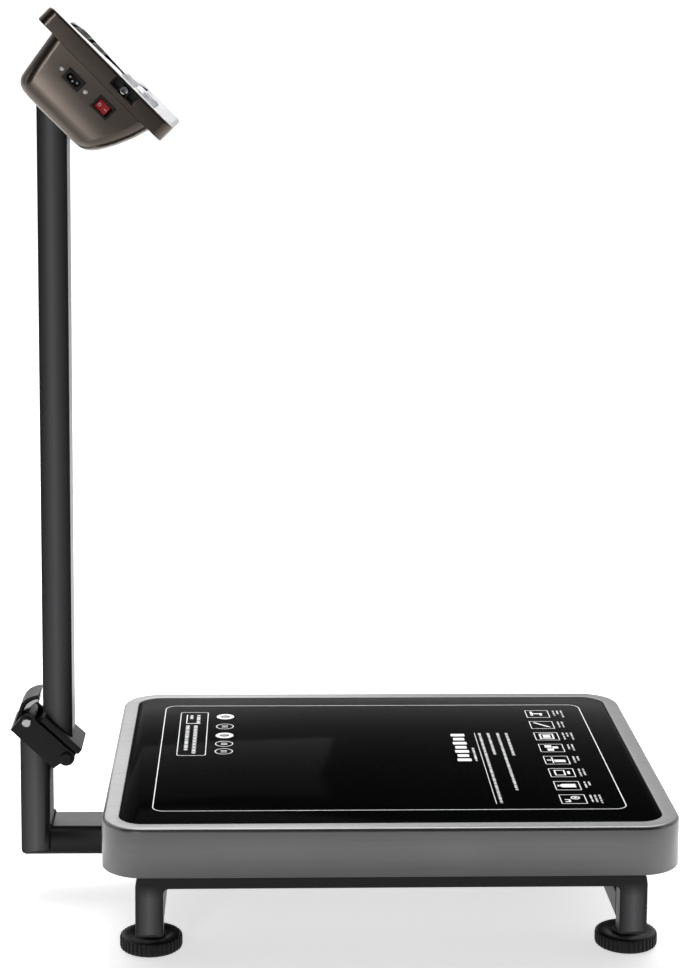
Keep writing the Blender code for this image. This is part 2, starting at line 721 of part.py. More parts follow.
columnMiddle = COLUMN_LEFT + TUBE_WIDTH / 2.0
leverPath = [
    (-285.8, 164.0), (-286.4, 170.0), (-285.4, 175.6), (-282.8, 180.6), (-278.8, 184.2), (-273.6, 186.6),
    (-267.6, 187.8),
]
leverInner = [
    (-267.2, 185.0), (-273.0, 183.9), (-277.4, 181.8), (-280.6, 179.0), (-282.7, 175.0), (-283.6, 170.2),
    (-283.2, 165.0),
]
leverHalf = stubHalf - 5.0
lever = prism(leverPath + leverInner, -leverHalf, leverHalf, across)
latchX, latchZ = latchPivot[0], latchPivot[2]
hub = prism(circle(6.2, 24, (latchX, latchZ)), -leverHalf, leverHalf, across)
latchBore = prism(circle(LATCH_PIN_RADIUS + RUN, 24, (latchX, latchZ)), -60.0, 60.0, across)
finish("latch_lever", cut(join(lever, hub), latchBore), "hinge_cast", latchPivot)

camOutline = [
    (-282.3, 172.0), (-281.6, 175.2), (-279.8, 178.0), (-276.8, 180.8), (-272.6, 182.9), (-268.0, 183.9),
    (-267.2, 180.6), (-270.8, 179.2), (-274.0, 176.8), (-276.0, 174.2), (-277.2, 171.4),
]
cam = prism(camOutline, -leverHalf + 3.0, leverHalf - 3.0, across)
finish("latch_cam", cam, "pin_chrome", latchPivot)

# ---- column ---------------------------------------------------------------------------------------

columnHalf = COLUMN_DEPTH / 2.0
columnRight = COLUMN_LEFT + TUBE_WIDTH
columnFootLift = leafBottom + LEAF_THICK + GAP
section = rounded(TUBE_WIDTH / 2.0, columnHalf, TUBE_ROUND, 4, (columnMiddle, 0.0))
platTop = HOUSING_DEPTH - SHEET - GAP - 3.0


def head_depth_z(x, v):
    """Height of the head plane at depth v, at x."""
    tilt = math.radians(HEAD_TILT)
    base_x, _, base_z = head_point(0.0, 0.0, v)
    return base_z - (x - base_x) * math.tan(tilt)


column = loft([
    [(x, y, slope_line_z(x, columnFootLift)) for x, y in section],
    [(x, y, head_depth_z(x, platTop + 1.0)) for x, y in section],
])
columnAxisU = (columnMiddle - head_point(0.0, 0.0, HOUSING_DEPTH)[0]) / math.cos(math.radians(HEAD_TILT))
plate = head_box(
    columnAxisU - 19.5, HOUSING_FLOOR_END - 4.8, -36.0, 36.0, platTop, platTop + 3.0, 4.0
)
tubeHollow = prism(
    rounded(TUBE_WIDTH / 2.0 - TUBE_WALL, columnHalf - TUBE_WALL, TUBE_ROUND - TUBE_WALL, 2, (columnMiddle, 0.0)),
    100.0, 800.0, on_floor,
)
finish("column_tube", cut(join(column, plate), tubeHollow), "powder", hingePivot)

# ---- head housing ---------------------------------------------------------------------------------

def housing_loops(inset, first, last):
    """Deep pan: rounded outline shrinking with depth, inset for the inner skin."""
    levels = [
        (first, 8.0, 124.6, HOUSING_HALF),
        (HOUSING_DEPTH * 0.43, 10.2, 120.6, HOUSING_HALF),
        (HOUSING_DEPTH * 0.64, 12.5, 114.4, HOUSING_HALF),
        (HOUSING_DEPTH * 0.77, 14.0, 109.6, HOUSING_HALF - 0.5),
        (HOUSING_DEPTH * 0.86, 15.2, 105.8, HOUSING_HALF - 1.4),
        (HOUSING_DEPTH * 0.914, 16.8, 102.6, HOUSING_HALF - 2.8),
        (HOUSING_DEPTH * 0.96, 19.4, 98.8, HOUSING_HALF - 5.2),
        (HOUSING_DEPTH * 0.989, 22.8, 94.6, HOUSING_HALF - 8.6),
        (HOUSING_DEPTH, HOUSING_FLOOR_START, HOUSING_FLOOR_END, HOUSING_HALF - 12.8),
    ]
    loops = []
    for v, start, end, half in levels:
        depth = last if v == HOUSING_DEPTH else min(v, last)
        if v != first:
            depth = depth - inset * (v - LID_DEPTH) / (HOUSING_DEPTH - LID_DEPTH)
        outline = rounded(
            (end - start) / 2.0 - inset, half - inset, 12.0 - inset, 4, ((start + end) / 2.0, 0.0)
        )
        loops.append([head_point(u, y, depth) for u, y in outline])
    return loops


housingTop = LID_DEPTH + GAP
wallY = -HOUSING_HALF
outer = housing_loops(0.0, housingTop, HOUSING_DEPTH)
inner = housing_loops(SHEET, housingTop, HOUSING_DEPTH)
housing = loft(list(reversed(inner)) + outer)
holeTop = head_depth_z(COLUMN_LEFT, platTop - 2.0)
columnHole = prism(
    rounded(TUBE_WIDTH / 2.0 + GAP, columnHalf + GAP, TUBE_ROUND, 4, (columnMiddle, 0.0)),
    holeTop - 120.0, holeTop, on_floor,
)
inletHole = head_box(
    INLET_U - INLET_LENGTH / 2.0, INLET_U + INLET_LENGTH / 2.0, wallY - 5.0, wallY + 8.0,
    INLET_V - INLET_HEIGHT / 2.0, INLET_V + INLET_HEIGHT / 2.0,
)
rockerHole = head_box(
    ROCKER_U - ROCKER_LENGTH / 2.0 + 1.2, ROCKER_U + ROCKER_LENGTH / 2.0 - 1.2, wallY - 5.0, wallY + 8.0,
    ROCKER_V - ROCKER_HEIGHT / 2.0 + 1.0, ROCKER_V + ROCKER_HEIGHT / 2.0 - 1.0,
)
finish("head_housing", cut(housing, columnHole, inletHole, rockerHole), "head_steel", hingePivot)

# ---- lid, face panel and window ---------------------------------------------------------------------

lidMiddle = LID_START + LID_LENGTH / 2.0
headHalf = HEAD_WIDTH / 2.0


def lid_loop(inset, v):
    outline = rounded(
        LID_LENGTH / 2.0 - inset, headHalf - inset, max(LID_CORNER - inset, 1.0), 6, (lidMiddle, 0.0)
    )
    return [head_point(u, y, v) for u, y in outline]


lidLoops = [
    lid_loop(PANEL_RIM, PANEL_THICK),
    lid_loop(PANEL_RIM, 0.0),
]
for step in range(4):
    angle = math.radians(90.0 * step / 3.0)
    lidLoops.append(lid_loop(LID_EDGE * (1.0 - math.sin(angle)), LID_EDGE * (1.0 - math.cos(angle))))
lidLoops.append(lid_loop(0.0, LID_DEPTH))
lidLoops.append(lid_loop(SHEET, LID_DEPTH))
lidLoops.append(lid_loop(SHEET, PANEL_THICK + SHEET))
lid = loft(lidLoops)

openings = []
keyCentres = []
for row in range(KEY_ROWS):
    for column_index in range(KEY_COLUMNS):
        keyU = KEY_FIRST_U + row * KEY_PITCH_U
        keyY = WINDOW_Y + (column_index - (KEY_COLUMNS - 1) / 2.0) * KEY_PITCH_Y
        keyCentres.append((keyU, keyY))
keyGap = 0.35


def opening(extra, v0, v1):
    """Cutters for the window, keys, door and label slot."""
    tools = [head_box(
        WINDOW_U - WINDOW_LENGTH / 2.0 - extra, WINDOW_U + WINDOW_LENGTH / 2.0 + extra,
        WINDOW_Y - WINDOW_WIDTH / 2.0 - extra, WINDOW_Y + WINDOW_WIDTH / 2.0 + extra, v0, v1,
    )]
    for keyU, keyY in keyCentres:
        tools.append(head_box(
            keyU - KEY_LENGTH / 2.0 - extra, keyU + KEY_LENGTH / 2.0 + extra,
            keyY - KEY_WIDTH / 2.0 - extra, keyY + KEY_WIDTH / 2.0 + extra, v0, v1,
        ))
    tools.append(head_box(
        DOOR_START - extra, DOOR_START + DOOR_LENGTH + SLOT_LENGTH + extra,
        DOOR_Y - DOOR_WIDTH / 2.0 - extra, DOOR_Y + DOOR_WIDTH / 2.0 + extra, v0, v1,
    ))
    return tools


lid = cut(lid, *opening(keyGap, -4.0, PANEL_THICK + SHEET + 3.0))
portHole = head_box(
    PORT_U - PORT_SLOT / 2.0, PORT_U + PORT_SLOT / 2.0, -headHalf - 4.0, -headHalf + 4.0,
    PORT_V - PORT_HEIGHT / 2.0, PORT_V + PORT_HEIGHT / 2.0,
)
finish("head_lid", cut(lid, portHole), "head_steel", hingePivot)

panel = loft([
    lid_loop(PANEL_RIM + GAP, 0.0),
    lid_loop(PANEL_RIM + GAP, PANEL_THICK - GAP),
])
finish("face_panel", cut(panel, *opening(keyGap, -4.0, 4.0)), "panel_light", hingePivot)

pane = head_box(
    WINDOW_U - WINDOW_LENGTH / 2.0, WINDOW_U + WINDOW_LENGTH / 2.0,
    WINDOW_Y - WINDOW_WIDTH / 2.0, WINDOW_Y + WINDOW_WIDTH / 2.0, 0.0, PANEL_THICK + SHEET + 0.3,
)
finish("display_window", pane, "window_clear", hingePivot)

displayTop = PANEL_THICK + SHEET + 2.0
displayBoard = join(
    head_box(WINDOW_U - 19.0, WINDOW_U + 19.0, WINDOW_Y - 50.0, WINDOW_Y + 50.0, displayTop, displayTop + 4.0),
    head_box(WINDOW_U - 23.0, WINDOW_U + 23.0, WINDOW_Y - 54.0, WINDOW_Y + 54.0, displayTop + 4.0, displayTop + 5.6),
)
finish("display_board", displayBoard, "board_green", hingePivot)

# ---- keys -----------------------------------------------------------------------------------------

for number, (keyU, keyY) in enumerate(keyCentres, start=1):
    capBottom = PANEL_THICK + SHEET + 1.2
    cap = head_box(
        keyU - KEY_LENGTH / 2.0, keyU + KEY_LENGTH / 2.0, keyY - KEY_WIDTH / 2.0, keyY + KEY_WIDTH / 2.0,
        -KEY_PROUD, capBottom, 2.0, 3,
    )
    skirt = head_box(
        keyU - KEY_LENGTH / 2.0 - 1.2, keyU + KEY_LENGTH / 2.0 + 1.2,
        keyY - KEY_WIDTH / 2.0 - 1.2, keyY + KEY_WIDTH / 2.0 + 1.2,
        PANEL_THICK + SHEET + GAP, capBottom + 0.4,
    )
    finish("key_%d" % number, join(cap, skirt), "key_grey", head_point(keyU, keyY, 0.0))

keyFloor = PANEL_THICK + SHEET + 1.6 + KEY_TRAVEL + GAP
keyBoardStart = KEY_FIRST_U - KEY_LENGTH / 2.0 - 4.0
keyBoardEnd = KEY_FIRST_U + (KEY_ROWS - 1) * KEY_PITCH_U + KEY_LENGTH / 2.0 + 4.0
mainBoard = head_box(
    keyBoardStart, keyBoardEnd, WINDOW_Y - 52.0, WINDOW_Y + 52.0, keyFloor, keyFloor + 1.6
)
chip = head_box(86.0, 102.0, -50.0, -34.0, keyFloor + 1.0, keyFloor + 4.4)
finish("main_board", join(mainBoard, chip), "board_green", hingePivot)

# ---- power parts ----------------------------------------------------------------------------------

innerFloor = HOUSING_DEPTH - SHEET - GAP
battery = head_box(34.0, 96.0, -64.0, -26.0, 22.0, innerFloor - 8.0, 2.0)
finish("battery", battery, "battery_grey", hingePivot)
powerBoard = join(
    head_box(22.0, 100.0, wallY + 6.0, wallY + 30.0, innerFloor - 18.2, innerFloor - 16.6),
    head_box(60.0, 82.0, wallY + 9.0, wallY + 27.0, innerFloor - 26.2, innerFloor - 17.7),
    head_box(30.0, 42.0, wallY + 11.0, wallY + 25.0, innerFloor - 23.2, innerFloor - 17.7),
)
finish("power_board", powerBoard, "board_green", hingePivot)

inletHalfU = INLET_LENGTH / 2.0 - GAP
inletHalfV = INLET_HEIGHT / 2.0 - GAP
inlet = head_box(
    INLET_U - inletHalfU, INLET_U + inletHalfU, wallY - 1.6, wallY + 16.0,
    INLET_V - inletHalfV, INLET_V + inletHalfV,
)
socketHole = prism(
    rounded(inletHalfU - 1.8, inletHalfV - 1.6, 3.0, 4, (INLET_U, INLET_V)), wallY - 6.0, wallY + 10.0, head_across
)
inlet = cut(inlet, socketHole)
for side in (-1.0, 1.0):
    contact = prism(
        circle(1.1, 12, (INLET_U + side * 4.3, INLET_V)), wallY + 0.5, wallY + 12.0, head_across
    )
    inlet = join(inlet, contact)
finish("mains_inlet", inlet, "moulding_black", hingePivot)

bezelOuter = head_box(
    ROCKER_U - ROCKER_LENGTH / 2.0, ROCKER_U + ROCKER_LENGTH / 2.0, wallY - 2.0, wallY - GAP,
    ROCKER_V - ROCKER_HEIGHT / 2.0, ROCKER_V + ROCKER_HEIGHT / 2.0,
)
bezelBody = head_box(
    ROCKER_U - ROCKER_LENGTH / 2.0 + 1.5, ROCKER_U + ROCKER_LENGTH / 2.0 - 1.5, wallY - 1.0, wallY + 18.0,
    ROCKER_V - ROCKER_HEIGHT / 2.0 + 1.3, ROCKER_V + ROCKER_HEIGHT / 2.0 - 1.3,
)
paddleHalfU = ROCKER_LENGTH / 2.0 - 2.9
paddleHalfV = ROCKER_HEIGHT / 2.0 - 2.5
well = head_box(
    ROCKER_U - paddleHalfU - 0.9, ROCKER_U + paddleHalfU + 0.9, wallY - 6.0, wallY + 14.0,
    ROCKER_V - paddleHalfV - 0.4, ROCKER_V + paddleHalfV + 0.4,
)
finish("rocker_bezel", cut(join(bezelOuter, bezelBody), well), "moulding_black", hingePivot)

rockerDepth = 6.0             # pivot below the housing's side wall
rockerPivot = head_point(ROCKER_U, wallY + rockerDepth, ROCKER_V)
tip = math.radians(ROCKER_TIP)
paddle = [
    (-paddleHalfU + 0.8, wallY + 9.0), (0.0, wallY + 12.0), (paddleHalfU - 0.8, wallY + 9.0),
    (paddleHalfU - 0.4, wallY - 1.2), (0.0, wallY - 0.3), (-paddleHalfU + 0.4, wallY - 1.2),
]
rocker = prism(
    [(ROCKER_U + a, y) for a, y in paddle], ROCKER_V - paddleHalfV, ROCKER_V + paddleHalfV,
    lambda a, b, offset: head_point(a, b, offset),
)
rocker.transform(
    Matrix.Translation(Vector(rockerPivot))
    @ Matrix.Rotation(tip, 4, Vector(head_point(0.0, 0.0, 1.0)) - Vector(head_point(0.0, 0.0, 0.0)))
    @ Matrix.Translation(-Vector(rockerPivot))
)
finish("rocker", rocker, "rocker_red", rockerPivot)

for name, side in (("port_upper", -1.0), ("port_lower", 1.0)):
    middle = PORT_U + side * (PORT_SLOT / 2.0 - GAP - PORT_LENGTH / 2.0)
    port = head_box(
        middle - PORT_LENGTH / 2.0, middle + PORT_LENGTH / 2.0, -headHalf + 0.4, -headHalf + 14.0,
        PORT_V - PORT_HEIGHT / 2.0 + GAP, PORT_V + PORT_HEIGHT / 2.0 - GAP,
    )
    mouth = head_box(
        middle - 3.6, middle + 3.6, -headHalf - 4.0, -headHalf + 8.0, PORT_V - 3.2, PORT_V + 3.2
    )
    finish(name, cut(port, mouth), "moulding_black", hingePivot)

# ---- label printer --------------------------------------------------------------------------------

doorStart = DOOR_START + GAP
doorEnd = DOOR_START + DOOR_LENGTH
doorHalf = DOOR_WIDTH / 2.0 - GAP
hingeRound = DOOR_THICK / 2.0
doorAxisU = doorStart + hingeRound
doorPivot = head_point(doorAxisU, DOOR_Y, hingeRound)
doorOutline = [(doorEnd, 0.0), (doorEnd, DOOR_THICK)]
for step in range(9):
    angle = math.radians(90.0 + 180.0 * step / 8.0)
    doorOutline.append((doorAxisU + hingeRound * math.cos(angle), hingeRound + hingeRound * math.sin(angle)))
door = prism(doorOutline, DOOR_Y - doorHalf, DOOR_Y + doorHalf, head_across)
notch = head_box(doorEnd - 3.0, doorEnd + 3.0, DOOR_Y - 9.0, DOOR_Y + 9.0, -3.0, 1.2)
finish("printer_door", cut(door, notch), "door_light", doorPivot)

cheekInner = CHEEK_GAP / 2.0
cheekOuter = cheekInner + CHEEK_THICK
cheekTop = 7.5
frameStart = 20.0
frameEnd = 112.0
frameFloor = ROLL_V + ROLL_RADIUS + 5.0
frameBottom = frameFloor - CHEEK_THICK
frameOutline = [
    (frameStart, cheekTop), (frameEnd, cheekTop), (frameEnd, frameFloor - 16.0),
    (frameEnd - 12.0, frameFloor), (frameStart, frameFloor),
]
printerFrame = prism(frameOutline, DOOR_Y - cheekOuter, DOOR_Y + cheekOuter, head_across)
frameHollow = head_box(
    frameStart - 5.0, frameEnd + 5.0, DOOR_Y - cheekInner, DOOR_Y + cheekInner, cheekTop - 5.0, frameBottom
)
printerFrame = cut(printerFrame, frameHollow)
platenBore = prism(
    circle(2.0 + RUN, 20, (PLATEN_U, PLATEN_V)), DOOR_Y - 60.0, DOOR_Y + 60.0, head_across
)
spindle = prism(
    circle(SPINDLE_RADIUS, 24, (ROLL_U, ROLL_V)), DOOR_Y - cheekInner - 1.0, DOOR_Y + cheekInner + 1.0, head_across
)
pinionU = PLATEN_U + GEAR_MODULE * (PLATEN_TEETH + PINION_TEETH) / 2.0 * math.cos(math.radians(70.0))
pinionV = PLATEN_V + GEAR_MODULE * (PLATEN_TEETH + PINION_TEETH) / 2.0 * math.sin(math.radians(70.0))
pinionBore = prism(circle(1.5 + RUN, 16, (pinionU, pinionV)), DOOR_Y, DOOR_Y + 60.0, head_across)
printerFrame = cut(join(printerFrame, spindle), platenBore, pinionBore)
finish("printer_frame", printerFrame, "moulding_black", hingePivot)

rollPivot = head_point(ROLL_U, DOOR_Y, ROLL_V)
rollHalf = ROLL_WIDTH / 2.0
roll = prism(circle(ROLL_RADIUS, 48, (ROLL_U, ROLL_V)), DOOR_Y - rollHalf, DOOR_Y + rollHalf, head_across)
rollBore = prism(
    circle(SPINDLE_RADIUS + 0.4, 24, (ROLL_U, ROLL_V)), DOOR_Y - 60.0, DOOR_Y + 60.0, head_across
)
finish("label_roll", cut(roll, rollBore), "paper_white", rollPivot)

platenPivot = head_point(PLATEN_U, DOOR_Y, PLATEN_V)
platenHalf = PLATEN_LENGTH / 2.0
platen = prism(circle(PLATEN_RADIUS, 28, (PLATEN_U, PLATEN_V)), DOOR_Y - platenHalf, DOOR_Y + platenHalf, head_across)
shaft = prism(
    circle(2.0, 20, (PLATEN_U, PLATEN_V)), DOOR_Y - cheekOuter - 0.5, DOOR_Y + cheekOuter + 4.5, head_across
)
gearStart = DOOR_Y + cheekOuter + 0.6
meshAngle = math.radians(70.0)
platenGear = prism(
    [(PLATEN_U + a, PLATEN_V + b) for a, b in gear_outline(PLATEN_TEETH, GEAR_MODULE, meshAngle)],
    gearStart, gearStart + GEAR_WIDTH, head_across,
)
finish("platen_roller", join(platen, shaft, platenGear), "roller_rubber", platenPivot)

pinionPivot = head_point(pinionU, DOOR_Y, pinionV)
pinionPhase = meshAngle + math.pi + math.pi / PINION_TEETH
pinion = prism(
    [(pinionU + a, pinionV + b) for a, b in gear_outline(PINION_TEETH, GEAR_MODULE, pinionPhase)],
    gearStart, gearStart + GEAR_WIDTH, head_across,
)
pinionShaft = prism(
    circle(1.5, 16, (pinionU, pinionV)), DOOR_Y + cheekInner - 2.0, gearStart + 1.0, head_across
)
finish("feed_pinion", join(pinion, pinionShaft), "gear_white", pinionPivot)

motorEnd = DOOR_Y + cheekInner - 2.0 - GAP
motor = prism(circle(7.0, 28, (pinionU, pinionV)), motorEnd - 22.0, motorEnd, head_across)
finish("feed_motor", motor, "stud_zinc", hingePivot)

printHead = join(
    head_box(PLATEN_U - 9.5, PLATEN_U - PLATEN_RADIUS - 0.5, DOOR_Y - 21.0, DOOR_Y + 21.0, PLATEN_V - 4.0, PLATEN_V + 9.0),
    head_box(PLATEN_U - 13.0, PLATEN_U - 8.5, DOOR_Y - 21.0, DOOR_Y + 21.0, PLATEN_V - 2.0, PLATEN_V + 7.0),
)
finish("print_head", printHead, "cell_aluminium", hingePivot)
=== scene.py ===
import json
import math
import bpy
import bmesh
from mathutils import Matrix, Vector


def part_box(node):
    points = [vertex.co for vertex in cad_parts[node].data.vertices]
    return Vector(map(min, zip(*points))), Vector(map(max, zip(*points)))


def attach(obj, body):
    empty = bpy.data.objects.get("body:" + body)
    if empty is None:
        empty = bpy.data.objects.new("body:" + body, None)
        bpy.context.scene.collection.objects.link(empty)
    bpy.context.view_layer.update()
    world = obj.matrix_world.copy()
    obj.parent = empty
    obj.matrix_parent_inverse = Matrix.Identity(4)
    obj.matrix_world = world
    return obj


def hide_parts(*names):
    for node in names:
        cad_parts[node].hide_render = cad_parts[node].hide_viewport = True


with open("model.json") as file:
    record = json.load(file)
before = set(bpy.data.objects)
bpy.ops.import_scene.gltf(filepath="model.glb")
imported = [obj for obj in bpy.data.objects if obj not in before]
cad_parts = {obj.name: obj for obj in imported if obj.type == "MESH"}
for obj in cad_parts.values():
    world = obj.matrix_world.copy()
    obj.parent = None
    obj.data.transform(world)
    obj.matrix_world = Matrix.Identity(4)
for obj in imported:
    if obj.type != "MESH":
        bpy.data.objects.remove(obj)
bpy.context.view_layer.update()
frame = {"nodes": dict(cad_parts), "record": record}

mm = 0.001
bodyOfNode = {
    node: body
    for body, members in frame["record"]["behaviour"]["bodies"].items()
    for node in members
}
print("scale: frame loaded,", len(frame["nodes"]), "nodes")

# Studio: pale floor, white backdrop, soft boxes

studio = {
    "floorTone": (0.88, 0.88, 0.88),
    "floorHalf": 5.0,
    "floorNear": -5.0,
    "floorDrop": 0.0002,     # how far the floor lies under the soles
    "bendStart": 2.4,        # where the floor starts to curve up behind the scale
    "bendRadius": 1.6,
    "bendSteps": 16,
    "wallTop": 5.0,
    "glowSpan": (-0.85, -0.05),   # along Y, where the floor's glow rises
    "floorGlow": (0.0, 0.66),     # at the near and the far end of that span
    "worldSpan": (-0.35, 0.55),
    "worldTone": (0.05, 1.0),     # in front of the scale and behind it
    "cameraPlace": (-0.0717, -1.9994, 0.7770),
    "cameraTurn": 0.0387,    # radians to the right of +Y
    "cameraDrop": 0.1405,    # radians below the horizon
    "cameraRoll": 0.0081,
    "lens": 82.2,
    "shiftY": -0.124,
}
# name: place, aim, size, power
softBoxes = {
    "topBox": ((0.1, 1.3, 2.3), (0.0, 0.5, 0.0), (2.6, 1.4), 72.0),
    "frontStrip": ((-1.10, -3.0, 1.0), (-0.25, 0.0, 0.35), (0.40, 2.0), 17.0),
    "sideBox": ((2.6, -0.9, 1.1), (0.1, 0.0, 0.2), (0.7, 1.4), 5.0),
    "leftBox": ((-2.7, -0.7, 1.1), (-0.1, 0.0, 0.3), (0.7, 1.6), 5.0),
    "backBox": ((-0.6, 2.6, 1.6), (-0.1, 0.0, 0.5), (1.6, 1.2), 14.0),
}


def makeCamera():
    turn, drop, roll = studio["cameraTurn"], studio["cameraDrop"], studio["cameraRoll"]
    ahead = math.cos(drop)
    forward = Vector((math.sin(turn) * ahead, math.cos(turn) * ahead, -math.sin(drop)))
    right = Vector((math.cos(turn), -math.sin(turn), 0.0))
    up = right.cross(forward)
    rolledRight = right * math.cos(roll) + up * math.sin(roll)
    rolledUp = rolledRight.cross(forward)
    data = bpy.data.cameras.new("camera")
    data.lens = studio["lens"]
    data.sensor_width = 36.0
    data.shift_y = studio["shiftY"]
    data.clip_end = 60.0
    camera = bpy.data.objects.new("camera", data)
    turned = Matrix((rolledRight, rolledUp, -forward)).transposed().to_4x4()
    camera.matrix_world = Matrix.Translation(studio["cameraPlace"]) @ turned
    bpy.context.scene.collection.objects.link(camera)
    bpy.context.scene.camera = camera


def setSpans(ramp, source, result):
    ramp.inputs["From Min"].default_value, ramp.inputs["From Max"].default_value = source
    ramp.inputs["To Min"].default_value, ramp.inputs["To Max"].default_value = result


def makeWorld():
    world = bpy.data.worlds.new("studioWorld")
    world.use_nodes = True
    nodes, links = world.node_tree.nodes, world.node_tree.links
    nodes.clear()
    coords = nodes.new("ShaderNodeTexCoord")
    split = nodes.new("ShaderNodeSeparateXYZ")
    ramp = nodes.new("ShaderNodeMapRange")
    ramp.interpolation_type = "SMOOTHSTEP"
    setSpans(ramp, studio["worldSpan"], studio["worldTone"])
    shade = nodes.new("ShaderNodeBackground")
    out = nodes.new("ShaderNodeOutputWorld")
    links.new(coords.outputs["Generated"], split.inputs[0])
    links.new(split.outputs["Y"], ramp.inputs["Value"])
    links.new(ramp.outputs[0], shade.inputs["Color"])
    links.new(shade.outputs[0], out.inputs["Surface"])
    bpy.context.scene.world = world


def softBox(name, place, aim, size, power):
    data = bpy.data.lights.new(name, "AREA")
    data.shape = "RECTANGLE"
    data.size, data.size_y = size
    data.energy = power
    lamp = bpy.data.objects.new(name, data)
    lamp.location = place
    lamp.rotation_euler = (Vector(aim) - Vector(place)).to_track_quat("-Z", "Y").to_euler()
    bpy.context.scene.collection.objects.link(lamp)


def makeStudio():
    makeCamera()
    makeWorld()
    for name, setting in softBoxes.items():
        softBox(name, *setting)
    bpy.context.scene.view_settings.view_transform = "Standard"
    start, radius, half = studio["bendStart"], studio["bendRadius"], studio["floorHalf"]
    steps, drop = studio["bendSteps"], studio["floorDrop"]
    path = [(studio["floorNear"], -drop), (-1.5, -drop), (0.0, -drop), (start, -drop)]
    for step in range(1, steps + 1):
        angle = math.radians(90.0 * step / steps)
        path.append((start + radius * math.sin(angle), radius * (1.0 - math.cos(angle)) - drop))
    path.append((start + radius, studio["wallTop"]))
    bm = bmesh.new()
    rows = [[bm.verts.new((x, y, z)) for x in (-half, half)] for y, z in path]
    for near, far in zip(rows[:-1], rows[1:]):
        bm.faces.new((near[0], near[1], far[1], far[0]))
    mesh = bpy.data.meshes.new("floor")
    bm.to_mesh(mesh)
    bm.free()
    mesh.shade_smooth()
    floor = bpy.data.objects.new("floor", mesh)
    mesh.materials.append(materials["floor"])
    bpy.context.scene.collection.objects.link(floor)
    print("scale: studio done")
